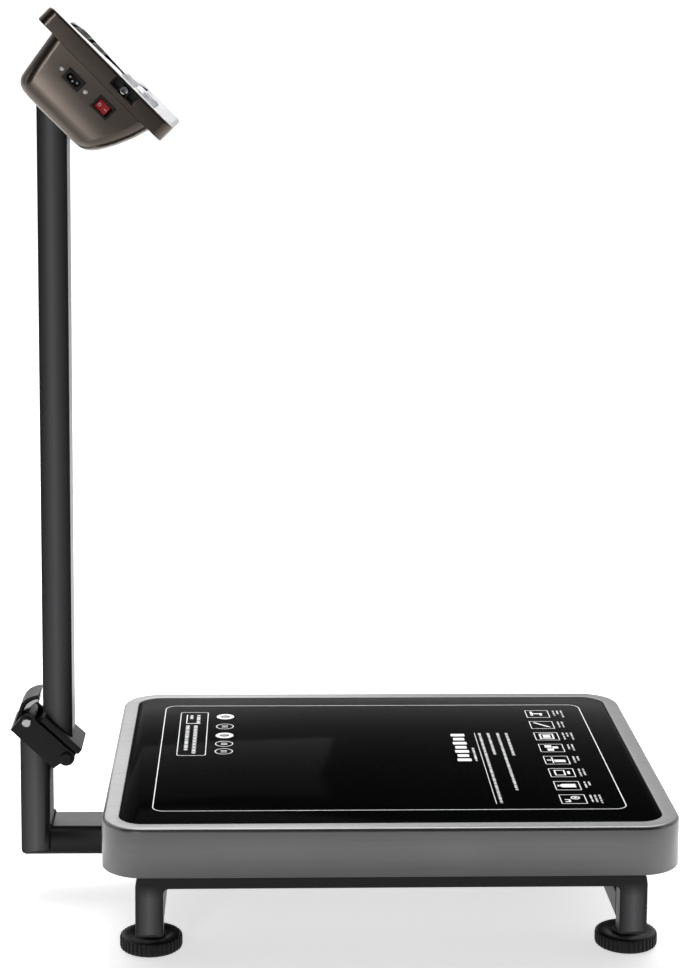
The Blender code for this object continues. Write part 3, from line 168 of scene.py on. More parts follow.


# Finishes
# tone and other: the two colours a slow noise blends; grain: cells per metre, along each axis where three;
# rough: span of roughness; bump: strength of the fine relief; depth: its height in metres; upright shade:
# share of the colour kept on upright faces, a painted shade; crown sheen: how much lighter the middle of a
# crowned face is painted, a painted sheen

finishes = {
    # powder carries a painted sheen along the middle of crowned tube faces
    "powder": {"tone": (0.0050, 0.0050, 0.0056), "other": (0.0080, 0.0080, 0.0088), "grain": 1500,
               "rough": (0.30, 0.38), "bump": 0.18, "depth": 0.00004, "ior": 1.26, "crownSheen": 0.088},
    "cast": {"tone": (0.0035, 0.0035, 0.0045), "other": (0.0070, 0.0070, 0.0080), "grain": 650,
             "rough": (0.38, 0.52), "bump": 0.4, "depth": 0.00010, "ior": 1.28},
    "traySteel": {"tone": (0.165, 0.165, 0.170), "other": (0.150, 0.149, 0.150), "grain": (7, 300, 700),
                  "rough": (0.30, 0.38), "bump": 0.06, "depth": 0.00001, "metal": 1.0, "upright": 0.80},
    "headSteel": {"tone": (0.118, 0.099, 0.086), "other": (0.108, 0.090, 0.078), "grain": (60, 900, 60),
                  "rough": (0.25, 0.27), "bump": 0.0, "depth": 0.00001, "metal": 1.0},
    "glass": {"tone": (0.0012, 0.0014, 0.0016), "other": (0.0008, 0.0009, 0.0011), "grain": 240,
              "rough": (0.06, 0.10), "bump": 0.01, "depth": 0.00001, "ior": 1.02},
    "print": {"tone": (0.78, 0.78, 0.79), "other": (0.70, 0.70, 0.71), "grain": 2400,
              "rough": (0.5, 0.62), "bump": 0.1, "depth": 0.00001},
    "knobPlastic": {"tone": (0.0030, 0.0030, 0.0030), "other": (0.0060, 0.0060, 0.0060), "grain": 1100,
                    "rough": (0.40, 0.52), "bump": 0.3, "depth": 0.00004, "ior": 1.35},
    "zinc": {"tone": (0.56, 0.56, 0.55), "other": (0.42, 0.42, 0.42), "grain": 900,
             "rough": (0.24, 0.40), "bump": 0.2, "depth": 0.00003, "metal": 1.0},
    "chrome": {"tone": (0.42, 0.42, 0.43), "other": (0.36, 0.36, 0.37), "grain": 500,
               "rough": (0.10, 0.2), "bump": 0.05, "depth": 0.00002, "metal": 1.0},
    "rubber": {"tone": (0.014, 0.014, 0.014), "other": (0.022, 0.022, 0.021), "grain": 700,
               "rough": (0.70, 0.85), "bump": 0.5, "depth": 0.0001},
    "aluminium": {"tone": (0.62, 0.62, 0.63), "other": (0.52, 0.52, 0.53), "grain": (40, 900, 900),
                  "rough": (0.28, 0.4), "bump": 0.2, "depth": 0.00003, "metal": 1.0},
    "spider": {"tone": (0.020, 0.021, 0.023), "other": (0.028, 0.029, 0.031), "grain": 1300,
               "rough": (0.42, 0.55), "bump": 0.35, "depth": 0.00006},
    "panel": {"tone": (0.34, 0.345, 0.37), "other": (0.31, 0.315, 0.34), "grain": 1500,
              "rough": (0.24, 0.32), "bump": 0.0, "depth": 0.00001},
    "windowPale": {"tone": (0.30, 0.32, 0.31), "other": (0.28, 0.30, 0.29), "grain": 200,
                   "rough": (0.04, 0.08), "bump": 0.0, "depth": 0.00001},
    "digits": {"tone": (0.10, 0.11, 0.11), "other": (0.08, 0.09, 0.09), "grain": 1500,
               "rough": (0.3, 0.4), "bump": 0.05, "depth": 0.00001},
    "moulding": {"tone": (0.0035, 0.0035, 0.0040), "other": (0.0060, 0.0060, 0.0065), "grain": 1200,
                 "rough": (0.38, 0.5), "bump": 0.2, "depth": 0.00003, "ior": 1.35},
    "mark": {"tone": (0.60, 0.60, 0.60), "other": (0.52, 0.52, 0.52), "grain": 1800,
             "rough": (0.45, 0.55), "bump": 0.1, "depth": 0.00001},
    "rockerRed": {"tone": (0.42, 0.010, 0.010), "other": (0.34, 0.007, 0.008), "grain": 800,
                  "rough": (0.14, 0.24), "bump": 0.05, "depth": 0.00002, "glow": 0.04},
    "keyGrey": {"tone": (0.13, 0.14, 0.16), "other": (0.11, 0.12, 0.14), "grain": 1600,
                "rough": (0.5, 0.62), "bump": 0.3, "depth": 0.00004},
    "doorPlastic": {"tone": (0.30, 0.32, 0.35), "other": (0.27, 0.29, 0.32), "grain": 1400,
                    "rough": (0.36, 0.48), "bump": 0.3, "depth": 0.00004},
    "paper": {"tone": (0.82, 0.82, 0.80), "other": (0.76, 0.76, 0.73), "grain": (1800, 300, 1800),
              "rough": (0.7, 0.8), "bump": 0.2, "depth": 0.00003},
    "gearNylon": {"tone": (0.70, 0.69, 0.64), "other": (0.64, 0.63, 0.58), "grain": 900,
                  "rough": (0.4, 0.5), "bump": 0.2, "depth": 0.00003},
    "boardGreen": {"tone": (0.010, 0.075, 0.030), "other": (0.014, 0.10, 0.042), "grain": 420,
                   "rough": (0.3, 0.45), "bump": 0.3, "depth": 0.00004},
    "batteryGrey": {"tone": (0.05, 0.055, 0.06), "other": (0.065, 0.07, 0.075), "grain": 900,
                    "rough": (0.4, 0.55), "bump": 0.2, "depth": 0.00004},
    "floor": {"tone": studio["floorTone"], "other": (0.84, 0.84, 0.84), "grain": 30,
              "rough": (0.85, 0.95), "bump": 0.02, "depth": 0.00005},
}


# painted shade: faces that stand upright take a darker share of the colour than those that face up
def paintedUprightShade(nodes, links, coords, tinted, share):
    split = nodes.new("ShaderNodeSeparateXYZ")
    links.new(coords.outputs["Normal"], split.inputs[0])
    uprightShadeFactor = nodes.new("ShaderNodeMapRange")
    setSpans(uprightShadeFactor, (0.25, 0.95), (share, 1.0))
    links.new(split.outputs["Z"], uprightShadeFactor.inputs["Value"])
    shaded = nodes.new("ShaderNodeVectorMath")
    shaded.operation = "SCALE"
    links.new(tinted, shaded.inputs[0])
    links.new(uprightShadeFactor.outputs[0], shaded.inputs["Scale"])
    return shaded.outputs[0]


# painted sheen: the middle of a crowned tube face is painted lighter than its edges
def paintedCrownSheen(nodes, links, tinted, gain):
    crownSheen = nodes.new("ShaderNodeAttribute")
    crownSheen.attribute_name = "crownSheen"
    sheenAmount = nodes.new("ShaderNodeVectorMath")
    sheenAmount.operation = "SCALE"
    sheenAmount.inputs[0].default_value = (gain, gain, gain * 1.04)
    links.new(crownSheen.outputs["Fac"], sheenAmount.inputs["Scale"])
    total = nodes.new("ShaderNodeVectorMath")
    total.operation = "ADD"
    links.new(tinted, total.inputs[0])
    links.new(sheenAmount.outputs[0], total.inputs[1])
    return total.outputs[0]


# two tones blended by a fine and a slow noise, with roughness and relief from the same noise
def makeMaterial(name, look):
    material = bpy.data.materials.new(name)
    material.use_nodes = True
    nodes, links = material.node_tree.nodes, material.node_tree.links
    shader = next(node for node in nodes if node.type == "BSDF_PRINCIPLED")
    coords = nodes.new("ShaderNodeTexCoord")
    mapping = nodes.new("ShaderNodeMapping")
    grain = look["grain"]
    mapping.inputs["Scale"].default_value = grain if isinstance(grain, tuple) else (grain, grain, grain)
    links.new(coords.outputs["Object"], mapping.inputs["Vector"])
    fine = nodes.new("ShaderNodeTexNoise")
    fine.inputs["Scale"].default_value = 1.0
    fine.inputs["Detail"].default_value = 4.0
    links.new(mapping.outputs[0], fine.inputs["Vector"])
    slow = nodes.new("ShaderNodeTexNoise")
    slow.inputs["Scale"].default_value = 11.0
    slow.inputs["Detail"].default_value = 3.0
    links.new(coords.outputs["Object"], slow.inputs["Vector"])
    both = nodes.new("ShaderNodeMath")
    both.operation = "MULTIPLY_ADD"
    both.inputs[1].default_value = 0.5
    links.new(fine.outputs[0], both.inputs[0])
    half = nodes.new("ShaderNodeMath")
    half.operation = "MULTIPLY"
    half.inputs[1].default_value = 0.5
    links.new(slow.outputs[0], half.inputs[0])
    links.new(half.outputs[0], both.inputs[2])
    spread = nodes.new("ShaderNodeMapRange")
    setSpans(spread, (0.35, 0.65), (0.0, 1.0))
    links.new(both.outputs[0], spread.inputs["Value"])
    blend = nodes.new("ShaderNodeMix")
    blend.data_type = "RGBA"
    blend.inputs["A"].default_value = (*look["tone"], 1.0)
    blend.inputs["B"].default_value = (*look["other"], 1.0)
    links.new(spread.outputs[0], blend.inputs["Factor"])
    tinted = blend.outputs["Result"]
    # painted shade: upright faces are painted darker than faces that look up
    if "upright" in look:
        tinted = paintedUprightShade(nodes, links, coords, tinted, look["upright"])
    # painted sheen along the middle of crowned tube faces
    if "crownSheen" in look:
        tinted = paintedCrownSheen(nodes, links, tinted, look["crownSheen"])
    links.new(tinted, shader.inputs["Base Color"])
    rough = nodes.new("ShaderNodeMapRange")
    setSpans(rough, (0.3, 0.7), look["rough"])
    links.new(both.outputs[0], rough.inputs["Value"])
    links.new(rough.outputs[0], shader.inputs["Roughness"])
    relief = nodes.new("ShaderNodeBump")
    relief.inputs["Strength"].default_value = look["bump"]
    relief.inputs["Distance"].default_value = look["depth"]
    links.new(fine.outputs[0], relief.inputs["Height"])
    links.new(relief.outputs[0], shader.inputs["Normal"])
    shader.inputs["Metallic"].default_value = look.get("metal", 0.0)
    shader.inputs["IOR"].default_value = look.get("ior", 1.5)
    if "glow" in look:
        shader.inputs["Emission Color"].default_value = (*look["tone"], 1.0)
        shader.inputs["Emission Strength"].default_value = look["glow"]
    return material


# the floor and the wall behind brighten away from the viewer
def glowFloor(material):
    nodes, links = material.node_tree.nodes, material.node_tree.links
    shader = next(node for node in nodes if node.type == "BSDF_PRINCIPLED")
    coords = nodes.new("ShaderNodeTexCoord")
    split = nodes.new("ShaderNodeSeparateXYZ")
    far = nodes.new("ShaderNodeMapRange")
    far.interpolation_type = "SMOOTHSTEP"
    setSpans(far, studio["glowSpan"], studio["floorGlow"])
    links.new(coords.outputs["Object"], split.inputs[0])
    links.new(split.outputs["Y"], far.inputs["Value"])
    links.new(far.outputs[0], shader.inputs["Emission Strength"])
    shader.inputs["Emission Color"].default_value = (1.0, 1.0, 1.0, 1.0)


materials = {name: makeMaterial(name, look) for name, look in finishes.items()}
glowFloor(materials["floor"])
slotFinish = {
    "powder": "powder", "tray_steel": "traySteel", "glass_black": "glass", "knob_black": "knobPlastic",
    "stud_zinc": "zinc", "sole_rubber": "rubber", "cell_aluminium": "aluminium", "spider_paint": "spider",
    "pin_chrome": "chrome", "hinge_cast": "cast", "head_steel": "headSteel", "panel_light": "panel",
    "window_clear": "windowPale", "board_green": "boardGreen", "battery_grey": "batteryGrey",
    "moulding_black": "moulding", "rocker_red": "rockerRed", "key_grey": "keyGrey",
    "door_light": "doorPlastic", "paper_white": "paper", "roller_rubber": "rubber", "gear_white": "gearNylon",
}
slotOfNode = {entry["node"]: entry["material_slot"] for entry in frame["record"]["subparts"]}
makeStudio()

# Helpers


def addPiece(name, mesh, body, finish, smooth=38.0):
    mesh.name = name
    piece = bpy.data.objects.new(name, mesh)
    bpy.context.scene.collection.objects.link(piece)
    if finish:
        mesh.materials.clear()
        mesh.materials.append(materials[finish])
    if smooth:
        mesh.shade_smooth()
        mesh.set_sharp_from_angle(angle=math.radians(smooth))
    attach(piece, body)
    return piece


def middleOf(node):
    low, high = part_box(node)
    return (low + high) / 2.0


# the evaluated mesh of an object, which is then removed
def bake(piece):
    bpy.context.view_layer.update()
    graph = bpy.context.evaluated_depsgraph_get()
    mesh = bpy.data.meshes.new_from_object(piece.evaluated_get(graph))
    bpy.data.objects.remove(piece)
    return mesh


# a node's own shape with rounded edges and even shading; bevel in mm, and shape changes the mesh first
def refined(node, bevel, segments=2, shape=None):
    bm = bmesh.new()
    bm.from_mesh(frame["nodes"][node].data)
    bmesh.ops.remove_doubles(bm, verts=bm.verts, dist=0.000002)
    bmesh.ops.dissolve_limit(
        bm, angle_limit=math.radians(0.4), verts=bm.verts[:], edges=bm.edges[:], use_dissolve_boundaries=False
    )
    if shape:
        shape(bm)
    mesh = meshFrom(bm, node + "Shape")
    mesh.shade_smooth()
    mesh.set_sharp_from_angle(angle=math.radians(38.0))
    carrier = bpy.data.objects.new(node + "Shape", mesh)
    bpy.context.scene.collection.objects.link(carrier)
    if bevel:
        rounding = carrier.modifiers.new("rounding", "BEVEL")
        rounding.width = bevel * mm
        rounding.segments = segments
        rounding.limit_method = "ANGLE"
        rounding.angle_limit = math.radians(40.0)
        rounding.use_clamp_overlap = True
        rounding.miter_outer = "MITER_ARC"
    even = carrier.modifiers.new("even", "WEIGHTED_NORMAL")
    even.keep_sharp = True
    even.weight = 60
    slot = slotOfNode[node]
    piece = addPiece("fine_" + node, bake(carrier), bodyOfNode[node], slotFinish[slot], None)
    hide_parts(node)


def outlineLoop(halfX, halfY, radius, centre, height, steps=24):
    points = []
    for signX, signY, start in ((1, 1, 0), (-1, 1, 90), (-1, -1, 180), (1, -1, 270)):
        for step in range(steps + 1):
            angle = math.radians(start + 90.0 * step / steps)
            points.append(Vector((
                centre[0] + signX * (halfX - radius) + radius * math.cos(angle),
                centre[1] + signY * (halfY - radius) + radius * math.sin(angle),
                height,
            )))
    return points


# walls between rings of vertices, and a cap at each end where asked
def skin(bm, rings, caps=True):
    count = len(rings[0])
    for lower, upper in zip(rings[:-1], rings[1:]):
        for i in range(count):
            j = (i + 1) % count
            bm.faces.new((lower[i], lower[j], upper[j], upper[i]))
    if caps:
        bm.faces.new(list(reversed(rings[0])))
        bm.faces.new(rings[-1])


def meshFrom(bm, name):
    mesh = bpy.data.meshes.new(name)
    bm.to_mesh(mesh)
    bm.free()
    return mesh


def loftMesh(loops):
    bm = bmesh.new()
    skin(bm, [[bm.verts.new(point) for point in loop] for loop in loops])
    bmesh.ops.recalc_face_normals(bm, faces=bm.faces)
    return meshFrom(bm, "loft")


# a flat prism, or a flat ring when a hole outline is given
def slab(bm, points, low, high, hole=None):
    lower = [bm.verts.new((x, y, low)) for x, y in points]
    upper = [bm.verts.new((x, y, high)) for x, y in points]
    skin(bm, (lower, upper), hole is None)
    if hole is None:
        return
    innerLower = [bm.verts.new((x, y, low)) for x, y in hole]
    innerUpper = [bm.verts.new((x, y, high)) for x, y in hole]
    count = len(points)
    for i in range(count):
        j = (i + 1) % count
        bm.faces.new((innerLower[j], innerLower[i], innerUpper[i], innerUpper[j]))
        bm.faces.new((lower[j], lower[i], innerLower[i], innerLower[j]))
        bm.faces.new((upper[i], upper[j], innerUpper[j], innerUpper[i]))


# Geometry nodes: pieces set at points


def makePlacedTree():
    tree = bpy.data.node_groups.new("placedPieces", "GeometryNodeTree")
    face = tree.interface
    face.new_socket("Geometry", in_out="INPUT", socket_type="NodeSocketGeometry")
    face.new_socket("Piece", in_out="INPUT", socket_type="NodeSocketObject")
    face.new_socket("Size", in_out="INPUT", socket_type="NodeSocketFloat")
    face.new_socket("Finish", in_out="INPUT", socket_type="NodeSocketMaterial")
    face.new_socket("Geometry", in_out="OUTPUT", socket_type="NodeSocketGeometry")
    nodes, links = tree.nodes, tree.links
    start, end = nodes.new("NodeGroupInput"), nodes.new("NodeGroupOutput")
    toPoints = nodes.new("GeometryNodeMeshToPoints")
    source = nodes.new("GeometryNodeObjectInfo")
    turn = nodes.new("GeometryNodeInputNamedAttribute")
    turn.data_type = "FLOAT_VECTOR"
    turn.inputs["Name"].default_value = "turn"
    stretch = nodes.new("GeometryNodeInputNamedAttribute")
    stretch.data_type = "FLOAT_VECTOR"
    stretch.inputs["Name"].default_value = "stretch"
    scaled = nodes.new("ShaderNodeVectorMath")
    scaled.operation = "SCALE"
    place = nodes.new("GeometryNodeInstanceOnPoints")
    real = nodes.new("GeometryNodeRealizeInstances")
    paint = nodes.new("GeometryNodeSetMaterial")
    links.new(start.outputs["Geometry"], toPoints.inputs["Mesh"])
    links.new(toPoints.outputs["Points"], place.inputs["Points"])
    links.new(start.outputs["Piece"], source.inputs["Object"])
    links.new(source.outputs["Geometry"], place.inputs["Instance"])
    links.new(turn.outputs["Attribute"], place.inputs["Rotation"])
    links.new(stretch.outputs["Attribute"], scaled.inputs[0])
    links.new(start.outputs["Size"], scaled.inputs["Scale"])
    links.new(scaled.outputs[0], place.inputs["Scale"])
    links.new(place.outputs[0], real.inputs[0])
    links.new(real.outputs[0], paint.inputs["Geometry"])
    links.new(start.outputs["Finish"], paint.inputs["Material"])
    links.new(paint.outputs[0], end.inputs[0])
    return tree


placedTree = makePlacedTree()


def socketKey(tree, label):
    return next(
        item.identifier for item in tree.interface.items_tree
        if item.in_out == "INPUT" and item.name == label
    )


# copies of a source shape at given places, turns and stretches
def placedPieces(name, places, source, body, finish, size=1.0, smooth=38.0):
    mesh = bpy.data.meshes.new(name + "Points")
    mesh.from_pydata([place[0] for place in places], [], [])
    turns = mesh.attributes.new("turn", "FLOAT_VECTOR", "POINT")
    stretches = mesh.attributes.new("stretch", "FLOAT_VECTOR", "POINT")
    for i, place in enumerate(places):
        turns.data[i].vector = place[1]
        stretches.data[i].vector = place[2] if len(place) > 2 else (1.0, 1.0, 1.0)
    carrier = bpy.data.objects.new(name + "Points", mesh)
    bpy.context.scene.collection.objects.link(carrier)
    modifier = carrier.modifiers.new("placed", "NODES")
    modifier.node_group = placedTree
    modifier[socketKey(placedTree, "Piece")] = source
    modifier[socketKey(placedTree, "Size")] = size
    modifier[socketKey(placedTree, "Finish")] = materials[finish]
    return addPiece(name, bake(carrier), body, finish, smooth)


# a shape to be copied; it is hidden, and removed once used
def sourceObject(name, mesh):
    source = bpy.data.objects.new(name, mesh)
    bpy.context.scene.collection.objects.link(source)
    source.hide_render = True
    return source


def sourceShape(name, bm):
    bmesh.ops.recalc_face_normals(bm, faces=bm.faces)
    return sourceObject(name, meshFrom(bm, name))


# a closed shape turned about Z from pairs of radius and height
def turnedShape(profile, count):
    bm = bmesh.new()
    rings = []
    for radius, height in profile:
        if radius <= 0.0:
            rings.append([bm.verts.new((0.0, 0.0, height))])
            continue
        turns = [2 * math.pi * i / count for i in range(count)]
        rings.append([bm.verts.new((radius * math.cos(a), radius * math.sin(a), height)) for a in turns])
    for lower, upper in zip(rings[:-1], rings[1:]):
        for i in range(count):
            j = (i + 1) % count
            if len(lower) == 1:
                bm.faces.new((lower[0], upper[j], upper[i]))
            elif len(upper) == 1:
                bm.faces.new((lower[i], lower[j], upper[0]))
            else:
                bm.faces.new((lower[i], lower[j], upper[j], upper[i]))
    bmesh.ops.recalc_face_normals(bm, faces=bm.faces)
    return bm


# Tray, glass and its print

tray = {
    "corner": 37.0, "edge": 3.2, "sheet": 1.5, "lip": 0.5, "gap": 0.3,   # gap: round and under the glass
    "cornerSteps": 24, "edgeSteps": 8,
}


def makeTray():
    low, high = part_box("tray_shell")
    glassLow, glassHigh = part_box("glass_inlay")
    centre = ((low.x + high.x) / 2.0, (low.y + high.y) / 2.0)
    halfX, halfY = (high.x - low.x) / 2.0, (high.y - low.y) / 2.0
    corner, edge, sheet = tray["corner"] * mm, tray["edge"] * mm, tray["sheet"] * mm
    inset = glassLow.x - low.x
    recess = inset - tray["gap"] * mm
    recessFloor = glassLow.z - tray["gap"] * mm
    lip = tray["lip"] * mm

    def loop(inward, height):
        radius = max(corner - inward, 1.0 * mm)
        return outlineLoop(halfX - inward, halfY - inward, radius, centre, height, tray["cornerSteps"])

    loops = [
        loop(recess - sheet, recessFloor - sheet),
        loop(recess - sheet, high.z - sheet),
        loop(edge, high.z - sheet),
        loop(sheet + 0.6 * mm, high.z - edge * 0.8),
        loop(sheet, high.z - edge * 1.3),
        loop(sheet, low.z + lip),
        loop(sheet * 0.5 + 0.2 * mm, low.z),
        loop(sheet * 0.5 - 0.2 * mm, low.z),
        loop(0.0, low.z + lip),
    ]
    for step in range(tray["edgeSteps"] + 1):
        angle = math.radians(90.0 * step / tray["edgeSteps"])
        loops.append(loop(edge * (1.0 - math.cos(angle)), high.z - edge * (1.0 - math.sin(angle))))
    loops += [
        loop(recess - 0.8 * mm, high.z),
        loop(recess - 0.25 * mm, high.z - 0.2 * mm),
        loop(recess, high.z - 0.8 * mm),
        loop(recess, recessFloor),
    ]
    shell = addPiece("tray_pressing", loftMesh(loops), "tray", "traySteel", 50.0)
    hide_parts("tray_shell")

    glassLoops = [
        loop(inset + 0.4 * mm, glassLow.z),
        loop(inset, glassLow.z + 0.4 * mm),
        loop(inset, glassHigh.z - 0.7 * mm),
        loop(inset + 0.2 * mm, glassHigh.z - 0.25 * mm),
        loop(inset + 0.7 * mm, glassHigh.z),
    ]
    pane = addPiece("glass_pane", loftMesh(glassLoops), "tray", "glass", 50.0)
    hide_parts("glass_inlay")


printing = {
    "height": 0.05,             # how far the print stands on the glass
    "outline": (-161.3, 254.2, -153.8, 157.3),
    "outlineCorner": 11.0,
    "outlineWidth": 0.9,
    "frameX": (197.7, 220.9),
    "frameCentre": 126.0,
    "framePitch": 36.2,
    "frameHeight": 24.0,
    "frameCount": 8,
    "blockX": (116.8, 130.0),   # plain bars in place of the maker's word
    "blockY": (-23.0, 64.4),
    "ruleX": 140.3,
    "ruleY": (-138.6, 64.3),
    "rows": ((145.0, -137.0), (153.4, -3.6), (162.6, -102.4), (171.0, -3.8)),
    "rowTop": 64.2,
    "noteX": (-145.5, -118.0),
    "noteY": (-1.2, 135.5),
    "noteBars": ((-139.4, -138.4, 98.4, 127.0), (-139.4, -125.4, 98.0, 99.4)),
    "noteRows": (           # X, start, end, height and seed of a row of strokes
        (-137.3, 92.0, 15.0, 4.2, 4), (-129.6, 92.0, 5.0, 4.2, 5),
        (-134.4, 125.6, 112.0, 3.4, 1), (-127.6, 126.4, 99.8, 4.0, 6),
    ),
    "blockRow": (134.4, 18.6, -20.4, 2.6, 3),
    "badgeX": -101.3,
    "badges": (120.5, 88.6, 60.0, 34.2, 11.2),
    "badgeSize": 17.2,
    "badgeBar": (3.0, 1.2, 2.6),    # half its length, and its two edges from the middle
    "barCount": 7,
}


def roundedOutline(x0, x1, y0, y1, radius, steps=8):
    centre = ((x0 + x1) / 2.0 * mm, (y0 + y1) / 2.0 * mm)
    loop = outlineLoop((x1 - x0) / 2.0 * mm, (y1 - y0) / 2.0 * mm, radius * mm, centre, 0.0, steps)
    return [(point.x, point.y) for point in loop]


def ringOutline(centreX, centreY, radius, count=40):
    return [
        ((centreX + radius * math.cos(2 * math.pi * i / count)) * mm,
         (centreY + radius * math.sin(2 * math.pi * i / count)) * mm)
        for i in range(count)
    ]


def makePrint():
    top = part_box("glass_inlay")[1].z
    low, high = top - 0.02 * mm, top + printing["height"] * mm
    bm = bmesh.new()

    def frameRing(x0, x1, y0, y1, radius, width, steps=4):
        slab(
            bm, roundedOutline(x0, x1, y0, y1, radius, steps), low, high,
            roundedOutline(x0 + width, x1 - width, y0 + width, y1 - width, max(radius - width, 0.1), steps),
        )

    def bar(x0, x1, y0, y1):
        shape((x0, y0), (x1, y0), (x1, y1), (x0, y1))

    def shape(*points):
        slab(bm, [(x * mm, y * mm) for x, y in points], low, high)

    def disc(x, y, radius, hole=0.0):
        slab(bm, ringOutline(x, y, radius), low, high, ringOutline(x, y, hole) if hole else None)

    x0, x1, y0, y1 = printing["outline"]
    frameRing(x0, x1, y0, y1, printing["outlineCorner"], printing["outlineWidth"], 10)
    left, right = printing["frameX"]
    half = printing["frameHeight"] / 2.0
    for i in range(printing["frameCount"]):
        y = printing["frameCentre"] - i * printing["framePitch"]
        frameRing(left, right, y - half, y + half, 0.6, 0.8, 1)
        makeSymbol(i, (left + right) / 2.0, y, bar, shape, disc)
    bar(printing["ruleX"] - 0.3, printing["ruleX"] + 0.3, *printing["ruleY"])
    x0, x1 = printing["noteX"]
    y0, y1 = printing["noteY"]
    frameRing(x0, x1, y0, y1, 3.0, 0.8)
    for noteBar in printing["noteBars"]:
        bar(*noteBar)
    x, radius = printing["badgeX"], printing["badgeSize"] / 2.0
    reach, near, far = printing["badgeBar"]
    for i, y in enumerate(printing["badges"]):
        disc(x, y, radius, radius - (4.2 if i in (0, 2) else 0.9))
        bar(x - reach, x + reach, y - far, y - near)
        bar(x - reach, x + reach, y + near, y + far)
    bmesh.ops.recalc_face_normals(bm, faces=bm.faces)
    addPiece("glass_print", meshFrom(bm, "print"), "tray", "print")
    makeStrokes(low, high)


# eight plain pictograms
def makeSymbol(kind, x, y, bar, shape, disc):
    if kind == 0:       # tap
        bar(x - 7.0, x - 4.6, y - 5.0, y + 8.0)
        bar(x - 4.6, x + 5.0, y - 0.6, y + 2.4)
        bar(x + 2.0, x + 4.4, y - 5.0, y - 0.6)
    elif kind == 1:     # pen
        shape(
            (x - 8.0, y + 7.0), (x - 6.4, y + 8.6), (x + 6.4, y - 4.6),
            (x + 8.0, y - 8.0), (x + 4.6, y - 6.4),
        )
    elif kind == 2:     # screen
        bar(x - 7.0, x + 7.0, y + 6.4, y + 8.0)
        bar(x - 7.0, x + 7.0, y - 8.0, y - 6.4)
        bar(x - 7.0, x - 5.4, y - 6.4, y + 6.4)
        bar(x + 5.4, x + 7.0, y - 6.4, y + 6.4)
        bar(x - 3.6, x + 3.6, y - 4.4, y + 4.4)
    elif kind == 3:     # crates
        bar(x - 6.0, x + 0.4, y + 1.0, y + 8.4)
        bar(x + 1.2, x + 6.6, y - 1.4, y + 4.6)
        bar(x - 4.4, x + 1.6, y - 8.4, y - 1.6)
    elif kind == 4:     # load on a plate
        bar(x - 2.4, x + 8.0, y - 5.6, y + 1.2)
        bar(x - 4.4, x - 3.2, y - 8.2, y + 8.2)
        disc(x - 7.0, y, 2.2, 1.2)
    elif kind == 5:     # printer
        bar(x - 7.0, x - 5.6, y - 7.4, y + 7.4)
        bar(x + 1.6, x + 3.0, y - 7.4, y + 7.4)
        bar(x - 5.6, x + 1.6, y + 6.0, y + 7.4)
        bar(x - 5.6, x + 1.6, y - 7.4, y - 6.0)
        bar(x + 5.0, x + 7.4, y - 4.0, y + 4.0)
    elif kind == 6:     # cell
        shape(
            (x - 6.6, y - 2.2), (x - 4.6, y - 4.6), (x + 7.6, y - 4.6),
            (x + 7.6, y + 4.6), (x - 4.6, y + 4.6), (x - 6.6, y + 2.2),
        )
        bar(x - 9.0, x - 7.2, y - 1.8, y + 1.8)
    else:               # signal
        bar(x - 7.6, x - 2.6, y - 7.6, y - 5.8)
        bar(x - 7.6, x - 2.6, y - 2.0, y - 0.2)
        bar(x - 4.4, x - 2.6, y - 5.8, y - 2.0)
        disc(x + 2.4, y + 3.6, 4.2, 2.8)
        disc(x + 2.4, y + 3.6, 1.5)


# rows of short strokes in place of text, and plain bars in place of a name
def makeStrokes(low, high):
    bm = bmesh.new()
    bmesh.ops.create_cube(bm, size=1.0)
    bmesh.ops.bevel(bm, geom=bm.verts[:] + bm.edges[:], offset=0.08, segments=1, affect="EDGES")
    stroke = sourceShape("strokeShape", bm)
    middle, thick = (low + high) / 2.0, high - low
    places = []

    def row(x, start, end, height, seed):
        y, word = start, seed
        while y > end + 1.0:
            word = (word * 7 + 3) % 11
            length = min(3.2 + word * 0.9, y - end)
            letters = max(2, int(length / 1.3))
            for i in range(letters):
                tall = height * (0.72 if (i + word) % 3 else 1.0)
                places.append((
                    (x * mm, (y - (i + 0.5) * length / letters) * mm, middle), (0.0, 0.0, 0.0),
                    (tall * mm, length / letters * 0.66 * mm, thick),
                ))
            y -= length + 1.5

    for i, (x, end) in enumerate(printing["rows"]):
        row(x, printing["rowTop"], end, 3.0, i + 2)
    for noteRow in printing["noteRows"]:
        row(*noteRow)
    for i in range(printing["frameCount"]):
        y = printing["frameCentre"] - i * printing["framePitch"] + 11.0
        for j, reach in enumerate((17.0 + i % 3 * 2.0, 12.0 + i % 2 * 7.0, 22.0 if i in (0, 2, 7) else 0.0)):
            if reach:
                row(226.0 + 4.0 * j, y, y - reach, 2.0, i + j)
    x0, x1 = printing["blockX"]
    y0, y1 = printing["blockY"]
    step = (y1 - y0) / printing["barCount"]
    for i in range(printing["barCount"]):
        places.append((
            ((x0 + x1) / 2.0 * mm, (y1 - (i + 0.5) * step) * mm, middle), (0.0, 0.0, 0.0),
            ((x1 - x0) * (0.82 if i % 2 else 1.0) * mm, step * 0.62 * mm, thick),
        ))
    row(*printing["blockRow"])
    placedPieces("glass_strokes", places, stroke, "tray", "print", 1.0)
    bpy.data.objects.remove(stroke)


makeTray()
makePrint()
print("scale: tray, glass and print done")

# Base frame, bracket, column, hinge and weighing parts

